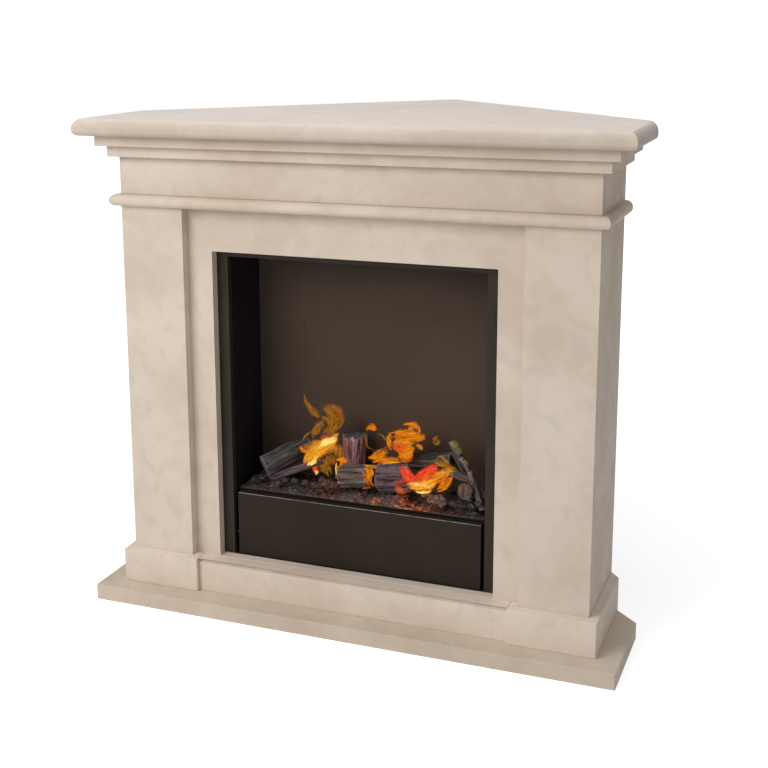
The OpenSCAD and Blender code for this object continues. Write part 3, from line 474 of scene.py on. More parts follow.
grey_plastic = new_finish(
    "grey_plastic", plastic_effect,
    {"Tint": (0.15, 0.155, 0.165), "Scuffed": (0.19, 0.195, 0.2), "Gloss": 0.42},
    bump=(0.3, 0.0002))
red_plastic = new_finish(
    "red_plastic", plastic_effect,
    {"Tint": (0.45, 0.03, 0.02), "Scuffed": (0.5, 0.06, 0.04), "Gloss": 0.22},
    bump=(0.2, 0.0001))
brass = new_finish(
    "disc_brass", zinc_effect, {"Bright": (0.68, 0.50, 0.2), "Dull": (0.5, 0.36, 0.14)},
    metallic=1.0, bump=(0.1, 0.0001))
dress(grey_plastic, "vapour_sump", "vapour_nozzle", "fan_rotor")
dress(brass, "transducers")
dress(black_plastic, "fan_housing", "control_box", "flame_knob", "mains_inlet")
dress(red_plastic, "power_rocker")

lamp_glass = new_finish(
    "lamp_glass", plastic_effect,
    {"Tint": (1.0, 0.80, 0.50), "Scuffed": (1.0, 0.72, 0.4), "Gloss": 0.3},
    bump=(0.1, 0.0001))
shader = lamp_glass.node_tree.nodes["Principled BSDF"]
shader.inputs["Emission Color"].default_value = lamp_glow
shader.inputs["Emission Strength"].default_value = lamp_strength
dress(lamp_glass, "lamps")


# ---- Ember bed ----
# A tray of moulded resin embers: dark red-brown lumps and grit, translucent where the
# lamps below shine through. It lies in the black ember tray and is heaped at the logs.
ember_low, ember_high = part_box("ember_bed")
tray_low, tray_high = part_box("ember_tray")
hot_spots = ((0.098, -0.250, 0.036), (0.132, -0.238, 0.026), (0.034, -0.246, 0.020))
red_spots = ((-0.070, -0.243, 0.060), (0.005, -0.250, 0.055), (0.165, -0.235, 0.050),
             (0.09, -0.245, 0.05))
heaps = ((-0.180, -0.214, 0.050, 0.020), (-0.010, -0.222, 0.055, 0.014),
         (0.064, -0.228, 0.055, 0.016), (0.120, -0.165, 0.060, 0.034),
         (0.219, -0.216, 0.030, 0.016), (0.225, -0.190, 0.03, 0.02),
         (-0.04, -0.17, 0.045, 0.012), (-0.085, -0.20, 0.045, 0.022))
grid_columns, grid_rows = 230, 54
lump_height, grit_height, swell_height = 0.0105, 0.0022, 0.004
edge_slope = 0.018
loose_coals = 230
red_glow, orange_glow = (1.0, 0.20, 0.03), (1.0, 0.24, 0.03)

ember_effect, given, out = effect_group(
    "ember_lumps",
    {"Ash": (0.128, 0.114, 0.106), "Resin": (0.086, 0.046, 0.040),
     "Soot": (0.011, 0.009, 0.009), "Red": (0.30, 0.085, 0.064), "Lump Size": 95.0},
    ("Color", "Roughness", "Height", "Glow"))
tree = ember_effect
where = object_place(tree)
lumps = add_node(tree, "TexVoronoi", {"Vector": where, "Scale": given["Lump Size"]},
                 feature="DISTANCE_TO_EDGE").outputs["Distance"]
grit = cloudy(tree, where, 330, 4, 0.5)
burnt = cloudy(tree, where, 26, 4, 0.8)


def nearness(places):
    """How near a point is to the nearest of some places, 1 at their middles."""
    nearest = None
    for x, y, reach in places:
        off = add_node(tree, "VectorMath", {0: where, 1: (x, y, ember_high.z)},
                       operation="DISTANCE").outputs["Value"]
        near = spread(tree, off, reach, reach * 0.2)
        nearest = near if nearest is None else maths(tree, "MAXIMUM", nearest, near)
    return nearest


tone = mix(tree, spread(tree, burnt, 0.42, 0.62), given["Resin"], given["Ash"])
reddened = maths(tree, "MULTIPLY", nearness(red_spots), spread(tree, grit, 0.40, 0.56, 0, 0.85))
tone = mix(tree, reddened, tone, given["Red"])
tone = mix(tree, spread(tree, grit, 0.52, 0.70, 0, 0.8), tone, given["Soot"])
tone = mix(tree, spread(tree, lumps, 0.14, 0.0, 0, 0.8), tone, given["Soot"])
give_surface(tree, out, tone, spread(tree, grit, 0.3, 0.7, 0.5, 0.8),
             maths(tree, "ADD", spread(tree, lumps, 0, 0.3), grit))
flecks = spread(tree, cloudy(tree, where, 190, 3, 1.2), 0.52, 0.64)
tree.links.new(maths(tree, "MULTIPLY", nearness(hot_spots), flecks), out["Glow"])


def ember_finish(name, values, glow, strength):
    material = new_finish(name, ember_effect, values, bump=(0.7, 0.0015), specular=0.2)
    tree = material.node_tree
    shader = tree.nodes["Principled BSDF"]
    effect = next(n for n in tree.nodes if n.type == "GROUP")
    shader.inputs["Emission Strength"].default_value = strength
    glowing = mix(tree, effect.outputs["Glow"], (0, 0, 0, 1), (*glow, 1))
    tree.links.new(glowing, shader.inputs["Emission Color"])
    return material


ember_resin = ember_finish("ember_resin", {}, orange_glow, 0.85)
coal_resin = ember_finish(
    "ember_coals",
    {"Ash": (0.095, 0.086, 0.086), "Resin": (0.070, 0.040, 0.037), "Lump Size": 60.0},
    red_glow, 0.7)


def ember_height(x, y):
    """How far the embers stand over the tray's rim at a place."""
    cell, spots = noise.voronoi((x * 78, y * 78, 0.3))
    lump = max(0.0, 0.62 - cell[0]) * (0.4 + 0.9 * abs(noise.cell(spots[0] * 3.1)))
    fine, _ = noise.voronoi((x * 190, y * 190, 4.1))
    rise = lump_height * lump + grit_height * max(0.0, 0.6 - fine[0])
    rise += swell_height * noise.noise((x * 14, y * 14, 2.0))
    for at_x, at_y, reach, height in heaps:
        away = math.hypot(x - at_x, (y - at_y) * 1.2) / reach
        if away < 1:
            rise += height * (1 - away * away) ** 2 * 0.8
    edge = min(x - ember_low.x, ember_high.x - x, y - ember_low.y, ember_high.y - y)
    return rise * min(1.0, 0.25 + edge / edge_slope)


def ember_mesh(shape):
    wide, deep = ember_high.x - ember_low.x, ember_high.y - ember_low.y
    grid = []
    for j in range(grid_rows + 1):
        y = ember_low.y + deep * j / grid_rows
        line = []
        for i in range(grid_columns + 1):
            x = ember_low.x + wide * i / grid_columns
            line.append(shape.verts.new((x, y, ember_high.z + ember_height(x, y))))
        grid.append(line)
    for near, far in zip(grid, grid[1:]):
        for i in range(grid_columns):
            shape.faces.new((near[i], near[i + 1], far[i + 1], far[i]))
    rim = grid[0] + [line[-1] for line in grid[1:]]
    rim += grid[-1][-2::-1] + [line[0] for line in grid[-2:0:-1]]
    foot = [shape.verts.new((v.co.x, v.co.y, ember_low.z)) for v in rim]
    for k in range(len(rim)):
        shape.faces.new((rim[k - 1], rim[k], foot[k], foot[k - 1]))
    shape.faces.new(foot)


embers = add_piece("embers", ember_mesh, ember_resin)
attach(embers, "fuel_bed")
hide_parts("ember_bed")


def add_coal(shape, middle, size, chance, count):
    """One angular lump, about size in half width, turned at random."""
    lump = bmesh.ops.create_icosphere(shape, subdivisions=2, radius=1.0)["verts"]
    turned = chance.uniform(0, 6.28)
    axle = Vector((chance.random(), chance.random(), chance.random() + 0.1)).normalized()
    spin = Matrix.Rotation(turned, 3, axle)
    squash = Vector((chance.uniform(0.8, 1.6), chance.uniform(0.7, 1.1), chance.uniform(0.45, 0.8)))
    for vert in lump:
        point = vert.co.copy()
        bulge = 0.55 * noise.noise(point * 1.4 + Vector((count * 3.7, 0, 0)))
        point *= 1 + bulge + 0.26 * noise.noise(point * 3.4 + Vector((0, count, 0)))
        point.x = round(point.x * 2.6) / 2.6 * 0.35 + point.x * 0.65
        point.z = round(point.z * 2.2) / 2.2 * 0.3 + point.z * 0.7
        point = spin @ point
        scaled = Vector((point.x * squash.x, point.y * squash.y, point.z * squash.z))
        vert.co = middle + scaled * size


def coal_mesh(shape):
    chance = random.Random(7)
    for count in range(loose_coals):
        x = chance.uniform(ember_low.x + 0.010, ember_high.x - 0.010)
        y = chance.uniform(ember_low.y + 0.008, ember_high.y - 0.010)
        size = chance.uniform(0.0030, 0.0070) if count % 6 else chance.uniform(0.007, 0.0105)
        middle = Vector((x, y, ember_high.z + ember_height(x, y) + size * 0.15))
        add_coal(shape, middle, size, chance, count)


coals = add_piece("ember_coals", coal_mesh, coal_resin)
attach(coals, "fuel_bed")

ash_lump = ember_finish(
    "ember_ash_lump",
    {"Ash": (0.112, 0.100, 0.096), "Resin": (0.060, 0.044, 0.042), "Lump Size": 110.0},
    red_glow, 0.3)
dark_lump = ember_finish(
    "ember_dark_lump",
    {"Ash": (0.120, 0.074, 0.062), "Resin": (0.090, 0.048, 0.040), "Lump Size": 110.0},
    red_glow, 0.3)
brown_lump = ember_finish(
    "ember_brown_lump",
    {"Ash": (0.30, 0.19, 0.155), "Resin": (0.25, 0.125, 0.100), "Red": (0.26, 0.120, 0.092),
     "Lump Size": 48.0}, red_glow, 0.3)
lumps_seen = (
    ("ember_lumps_left", ash_lump, (
        (-0.221, -0.232, 0.259, 0.0085), (-0.206, -0.226, 0.264, 0.0075),
        (-0.190, -0.236, 0.260, 0.0080), (-0.166, -0.240, 0.262, 0.0085),
        (-0.145, -0.241, 0.264, 0.0070), (-0.236, -0.240, 0.256, 0.0070),
        (-0.178, -0.247, 0.257, 0.0060))),
    ("ember_lumps_middle", dark_lump, (
        (-0.074, -0.247, 0.272, 0.0120), (-0.053, -0.250, 0.268, 0.0095),
        (-0.092, -0.249, 0.264, 0.0085), (-0.118, -0.245, 0.264, 0.0080))),
    ("ember_lump_smooth", brown_lump, (
        (0.163, -0.247, 0.266, 0.0150), (0.150, -0.243, 0.260, 0.0100))),
    ("ember_lumps_right", ash_lump, (
        (0.198, -0.250, 0.263, 0.0075), (0.213, -0.250, 0.262, 0.0080),
        (0.230, -0.248, 0.262, 0.0075), (0.224, -0.240, 0.272, 0.0070),
        (0.209, -0.246, 0.268, 0.0060), (0.243, -0.240, 0.265, 0.0070))))
for name, finish, places in lumps_seen:
    def lump_mesh(shape):
        chance = random.Random(len(name))
        for count, (x, y, z, size) in enumerate(places):
            add_coal(shape, Vector((x, y, z)), size, chance, count + 400)

    lumps = add_piece(name, lump_mesh, finish, smooth=False)
    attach(lumps, "fuel_bed")

# The tray's top front rim gets a lighter band too: a painted highlight.
tray_coat = new_finish(
    "ember_tray_coat", coat_effect,
    {"Coat": (0.010, 0.0080, 0.0075), "Worn": (0.016, 0.013, 0.012), "Mottle Size": 5.0,
     "Sheen": 0.6, "Edge Highlight": (0.075, 0.068, 0.060), "Highlight Above": tray_high.z - 0.0008,
     "Highlight Before": tray_low.y + 0.002},
    bump=(0.2, 0.0002), specular=0.06)
dress(tray_coat, "ember_tray")


# ---- Ceramic logs ----
# Moulded ceramic logs and branches, painted as charred wood: grooved bark along the
# sides, paler sawn or burnt ends. Each is bedded in the embers on small moulded feet.
bed_top = ember_high.z
worn_length = 0.005
end_steps = (0.93, 0.80, 0.55, 0.28)
bark_relief = {"bump": (0.7, 0.0012), "specular": 0.15}

char_effect, given, out = effect_group(
    "charred_bark",
    {"Char": (0.030, 0.028, 0.027), "Ash": (0.13, 0.124, 0.114),
     "Soot": (0.006, 0.0055, 0.005), "Tint": (0.12, 0.03, 0.03), "Tinted": 0.0, "Ashy": 0.6})
tree = char_effect
where = object_place(tree)
ridge = add_node(tree, "Attribute", attribute_name="ridge").outputs["Fac"]
fibres = stretched(tree, where, 1, 1, 0.10)
fibre = cloudy(tree, fibres, 260, 4, 0.5)
bands = cloudy(tree, fibres, 95, 3, 0.3)
dusted = cloudy(tree, where, 42, 4, 0.7)
checks = add_node(tree, "TexVoronoi", {"Vector": stretched(tree, where, 1, 1, 0.5),
                                       "Scale": 75.0}, feature="DISTANCE_TO_EDGE")
checks = checks.outputs["Distance"]
light = maths(tree, "ADD", maths(tree, "MULTIPLY", ridge, 0.62),
              maths(tree, "MULTIPLY", fibre, 0.38))
light = maths(tree, "MULTIPLY", spread(tree, light, 0.40, 0.72),
              spread(tree, dusted, 0.34, 0.62, 0.35, 1.0))
stained = maths(tree, "MULTIPLY", spread(tree, bands, 0.46, 0.60), given["Tinted"])
tone = mix(tree, maths(tree, "MULTIPLY", light, given["Ashy"]), given["Char"], given["Ash"])
tone = mix(tree, stained, tone, given["Tint"])
tone = mix(tree, spread(tree, ridge, 0.42, 0.12, 0, 0.95), tone, given["Soot"])
tone = mix(tree, spread(tree, fibre, 0.46, 0.34, 0, 0.5), tone, given["Soot"])
tone = mix(tree, spread(tree, checks, 0.05, 0.0, 0, 0.45), tone, given["Soot"])
give_surface(tree, out, tone, spread(tree, dusted, 0.3, 0.7, 0.6, 0.9),
             maths(tree, "ADD", fibre, spread(tree, checks, 0, 0.1, 0, 0.4)))


def char_finish(name, char, ash, ashy, **others):
    return new_finish(name, char_effect, {"Char": char, "Ash": ash, "Ashy": ashy, **others},
                      **bark_relief)


grey_char = char_finish("charred_grey", (0.036, 0.032, 0.030), (0.185, 0.165, 0.155), 0.9)
ash_char = char_finish("charred_ash", (0.095, 0.074, 0.066), (0.34, 0.28, 0.25), 0.9,
                       Tint=(0.30, 0.12, 0.05), Tinted=0.3)
red_char = char_finish("charred_red", (0.32, 0.180, 0.180), (0.62, 0.45, 0.45), 0.9,
                       Tint=(0.56, 0.160, 0.175), Tinted=0.6, Soot=(0.030, 0.018, 0.018))
purple_char = char_finish("charred_purple", (0.085, 0.060, 0.066), (0.26, 0.205, 0.235), 0.95,
                          Tint=(0.20, 0.085, 0.075), Tinted=0.5)
stick_char = char_finish("charred_stick", (0.130, 0.100, 0.098), (0.36, 0.30, 0.31), 0.95,
                         Tint=(0.24, 0.13, 0.10), Tinted=0.5)
rim_char = char_finish("charred_rim", (0.11, 0.098, 0.096), (0.36, 0.34, 0.33), 0.9)
dark_char = char_finish("charred_black", (0.070, 0.066, 0.060), (0.21, 0.205, 0.190), 0.8)
tan_wood = char_finish("singed_wood", (0.095, 0.062, 0.042), (0.23, 0.165, 0.112), 0.8,
                       Soot=(0.02, 0.015, 0.010))


def log_shape(low, high, radii, seed, square, groove, ragged, rings, around, depths):
    """A log from one end's middle to the other, in its own frame, grain along z."""
    length = (high - low).length
    start = seed * 0.7
    low_radius, high_radius = radii

    def fill(shape):
        loops = []
        for j in range(rings + 1):
            t = j / rings
            radius = low_radius + (high_radius - low_radius) * t
            bow = 0.07 * length * math.sin(math.pi * t) * noise.noise((seed, 5.0, 0.0))
            worn_end = max(0.0, 1 - min(t, 1 - t) * length / worn_length)
            loop = []
            for i in range(around):
                a = 2 * math.pi * i / around
                c, s = math.cos(a), math.sin(a)
                corner = (abs(math.cos(a + seed)) ** 4 + abs(math.sin(a + seed)) ** 4) ** -0.25
                rib = noise.noise((c * 2.4 + seed * 3, s * 2.4, t * length * 7))
                fine = noise.noise((c * 6.0, s * 6.0 + seed, t * length * 16))
                crack = noise.noise((c * 2.9 + seed, s * 2.9 + 4, t * length * 9))
                split = max(0.0, 1 - abs(crack) / 0.10)
                away = groove * (0.75 * rib + 0.45 * fine - 0.8 * split)
                knot = 1 + 0.05 * noise.noise((c * 1.4 + seed, s * 1.4, t * length * 14))
                out_to = radius * knot * (1 - square + square * corner / 1.08) + away
                torn = noise.noise((c * 2.2, s * 2.2, seed + t * 9)) if j in (0, rings) else 0
                along = start + t * length + ragged * torn
                loop.append(shape.verts.new((c * out_to + bow, s * out_to, along)))
                mottle = noise.noise((c * 9, s * 9 + seed, t * length * 30))
                depths.append(0.5 + 0.36 * away / groove + 0.15 * mottle + 0.4 * worn_end)
            loops.append(loop)
        join_loops(shape, loops, around)
        for loop, side in ((loops[0], -1), (loops[-1], 1)):
            centre = sum((v.co for v in loop), Vector()) / around
            ends = loop
            for step in end_steps:
                inner = []
                for vert in loop:
                    point = centre + (vert.co - centre) * step
                    rough = 0.0016 * noise.noise((point.x * 110, point.y * 110, seed))
                    tilt = (vert.co.z - centre.z) * max(0.0, step - 0.5)
                    point.z = centre.z + side * (0.0010 + rough) + tilt
                    inner.append(shape.verts.new(point))
                    mottle = noise.noise((point.x * 160, point.y * 160, seed + 2))
                    depths.append(0.55 + 0.5 * mottle)
                for i in range(around):
                    face = (ends[i - 1], ends[i], inner[i], inner[i - 1])
                    shape.faces.new(face if side < 0 else face[::-1]).material_index = 1
                ends = inner
            tip = shape.verts.new(centre)
            depths.append(0.5)
            for i in range(around):
                shape.faces.new((ends[i - 1], ends[i], tip)).material_index = 1

    return fill, start


def add_log(name, low, high, radii, seed, finish, end_finish,
            square=0.5, groove=0.0030, ragged=0.0025, rings=44, around=72):
    low, high = Vector(low), Vector(high)
    depths = []
    fill, start = log_shape(low, high, radii, seed, square, groove, ragged, rings, around, depths)
    log = add_piece(name, fill, finish, end_finish)
    log.data.attributes.new("ridge", "FLOAT", "POINT").data.foreach_set("value", depths)
    log.rotation_mode = "QUATERNION"
    log.rotation_quaternion = (high - low).to_track_quat("Z", "Y")
    log.location = low - (high - low).normalized() * start
    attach(log, "fuel_bed")
    return log


moulded_logs = (
    ("charred_log_left", "log_left", (-0.211, -0.2405, bed_top + 0.044),
     (-0.136, -0.178, bed_top + 0.084), (0.0225, 0.0190), grey_char, grey_char,
     {"square": 0.8, "groove": 0.0034}),
    ("charred_log_upright", "log_upright", (-0.040, -0.171, bed_top + 0.001),
     (-0.040, -0.171, bed_top + 0.108), (0.0235, 0.0225), red_char, rim_char,
     {"groove": 0.0036, "ragged": 0.012}),
    ("charred_log_front_left", "log_front_left", (-0.046, -0.231, bed_top + 0.042),
     (0.012, -0.231, bed_top + 0.049), (0.0225, 0.0205), ash_char, ash_char,
     {"square": 0.9, "ragged": 0.008}),
    ("charred_log_front_right", "log_front_right", (0.037, -0.234, bed_top + 0.048),
     (0.100, -0.234, bed_top + 0.057), (0.0260, 0.0255), purple_char, purple_char,
     {"square": 0.95, "ragged": 0.005}),
    ("charred_log_back", "log_back", (0.076, -0.164, bed_top + 0.067),
     (0.166, -0.164, bed_top + 0.078), (0.0185, 0.0180), dark_char, dark_char, {}),
    ("charred_branch", "branch_leaning", (0.236, -0.193, bed_top + 0.009),
     (0.171, -0.181, bed_top + 0.124), (0.0088, 0.0070), stick_char, tan_wood,
     {"groove": 0.0016, "ragged": 0.004, "around": 36}),
    ("singed_log_stub", "log_stub", (0.2155, -0.2400, bed_top + 0.0455),
     (0.222, -0.207, bed_top + 0.038), (0.0162, 0.0172), dark_char, tan_wood,
     {"square": 0.3, "rings": 24}))
for seed, (name, solid, low, high, radii, finish, end_finish, carving) in enumerate(moulded_logs):
    log = add_log(name, low, high, radii, seed + 1, finish, end_finish, **carving)
    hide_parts(solid)

loose_sticks = (
    ("charred_stick_left", (-0.1976, -0.235, 0.263), (-0.096, -0.214, 0.303),
     (0.0080, 0.0062), purple_char),
    ("charred_twig_tan", (0.213, -0.222, 0.309), (0.177, -0.204, 0.350),
     (0.0026, 0.0020), tan_wood),
    ("charred_twig_long", (0.2474, -0.215, 0.270), (0.196, -0.205, 0.340),
     (0.0080, 0.0060), stick_char),
    ("charred_twig_front", (0.2500, -0.232, 0.252), (0.221, -0.224, 0.322),
     (0.0070, 0.0050), stick_char),
    ("charred_twig_cross", (0.186, -0.226, 0.318), (0.232, -0.222, 0.300),
     (0.0085, 0.0070), ash_char))
for seed, (name, low, high, radii, finish) in enumerate(loose_sticks):
    add_log(name, low, high, radii, seed + 11, finish, finish,
            groove=0.0016, ragged=0.005, rings=26, around=30)


# ---- Vapour flames ----
# Water vapour that rises through the ember bed in curls, lit orange, red and yellow by
# the lamps below. Each curl is a few soft, flattened locks and some fine threads.
lock_corners, thread_corners = 22, 4
lock_limits, most_locks = ((0.0022, 1), (0.0034, 2), (0.0050, 3)), 5
threads, thread_width = 3, 0.0006
rings_per_point = 11
flatness = 0.5
edge_softness, thread_heart = 2.6, 0.95

flame_effect, given, out = effect_group(
    "vapour_light",
    {"Dim": (0.36, 0.085, 0.006), "Warm": (0.82, 0.25, 0.014), "Hot": (1.0, 0.60, 0.06),
     "Body": 0.9},
    ("Color", "Alpha"))
tree = flame_effect
flow = add_node(tree, "Attribute", attribute_name="flow").outputs["Vector"]
heart = add_node(tree, "Attribute", attribute_name="heart").outputs["Fac"]
strand = cloudy(tree, stretched(tree, flow, 340, 26, 340), 1.0, 3, 0.8)
strand = spread(tree, strand, 0.36, 0.64)
billow = cloudy(tree, stretched(tree, flow, 120, 55, 120), 1.0, 3, 1.2)
billow = spread(tree, billow, 0.36, 0.64)
heat = maths(tree, "ADD", maths(tree, "MULTIPLY", heart, 0.35),
             maths(tree, "MULTIPLY", strand, 0.58))
heat = maths(tree, "ADD", heat, maths(tree, "MULTIPLY", billow, 0.35))
tone = mix(tree, spread(tree, heat, 0.30, 0.72), given["Dim"], given["Warm"])
tree.links.new(mix(tree, spread(tree, heat, 0.76, 1.12), tone, given["Hot"]), out["Color"])
torn = maths(tree, "MULTIPLY", spread(tree, strand, 0.20, 0.75, 0.15, 1.0),
             spread(tree, billow, 0.15, 0.60, 0.25, 1.0))
torn = maths(tree, "MULTIPLY", torn, spread(tree, heart, 0.0, 0.70))
tree.links.new(maths(tree, "MULTIPLY", torn, given["Body"]), out["Alpha"])


def flame_finish(name, dim, warm, hot, strength, body):
    material = bpy.data.materials.new(name)
    material.use_nodes = True
    tree = material.node_tree
    shader = tree.nodes["Principled BSDF"]
    effect = tree.nodes.new("ShaderNodeGroup")
    effect.node_tree = flame_effect
    for label, colour in (("Dim", dim), ("Warm", warm), ("Hot", hot)):
        effect.inputs[label].default_value = (*colour, 1)
    effect.inputs["Body"].default_value = body
    shader.inputs["Base Color"].default_value = (0.01, 0.004, 0.001, 1)
    shader.inputs["Roughness"].default_value = 1.0
    shader.inputs["Specular IOR Level"].default_value = 0.0
    shader.inputs["Emission Strength"].default_value = strength
    tree.links.new(effect.outputs["Color"], shader.inputs["Emission Color"])
    tree.links.new(effect.outputs["Alpha"], shader.inputs["Alpha"])
    return material


# Each vapour's dim, warm and hot colour, how bright it is and how dense.
vapour_lights = {
    "plume": ((0.13, 0.050, 0.010), (0.28, 0.096, 0.012), (0.56, 0.20, 0.018), 1.0, 0.40),
    "orange": ((0.30, 0.058, 0.004), (0.62, 0.135, 0.005), (0.92, 0.32, 0.012), 1.0, 0.70),
    "yellow": ((0.55, 0.120, 0.008), (0.82, 0.25, 0.013), (1.0, 0.56, 0.06), 1.0, 0.62),
    "hot": ((0.92, 0.34, 0.02), (1.0, 0.60, 0.08), (1.0, 0.88, 0.36), 1.1, 0.75),
    "red": ((0.45, 0.022, 0.014), (0.88, 0.040, 0.024), (1.0, 0.13, 0.03), 1.0, 0.62),
    "scarlet": ((0.45, 0.070, 0.012), (0.78, 0.100, 0.014), (0.90, 0.17, 0.03), 1.0, 0.45),
    "crimson": ((0.16, 0.026, 0.028), (0.34, 0.042, 0.040), (0.60, 0.10, 0.05), 1.0, 0.50),
    "purple": ((0.10, 0.030, 0.032), (0.20, 0.044, 0.044), (0.32, 0.07, 0.05), 1.0, 0.60),
    "pink": ((0.30, 0.080, 0.040), (0.52, 0.130, 0.070), (0.85, 0.32, 0.16), 1.0, 0.45),
    "amber": ((0.11, 0.050, 0.012), (0.32, 0.125, 0.014), (0.66, 0.28, 0.02), 0.95, 0.30),
    "olive": ((0.06, 0.055, 0.022), (0.14, 0.125, 0.040), (0.30, 0.27, 0.07), 0.95, 0.35)}
vapours = {kind: flame_finish(kind + "_vapour", *light) for kind, light in vapour_lights.items()}

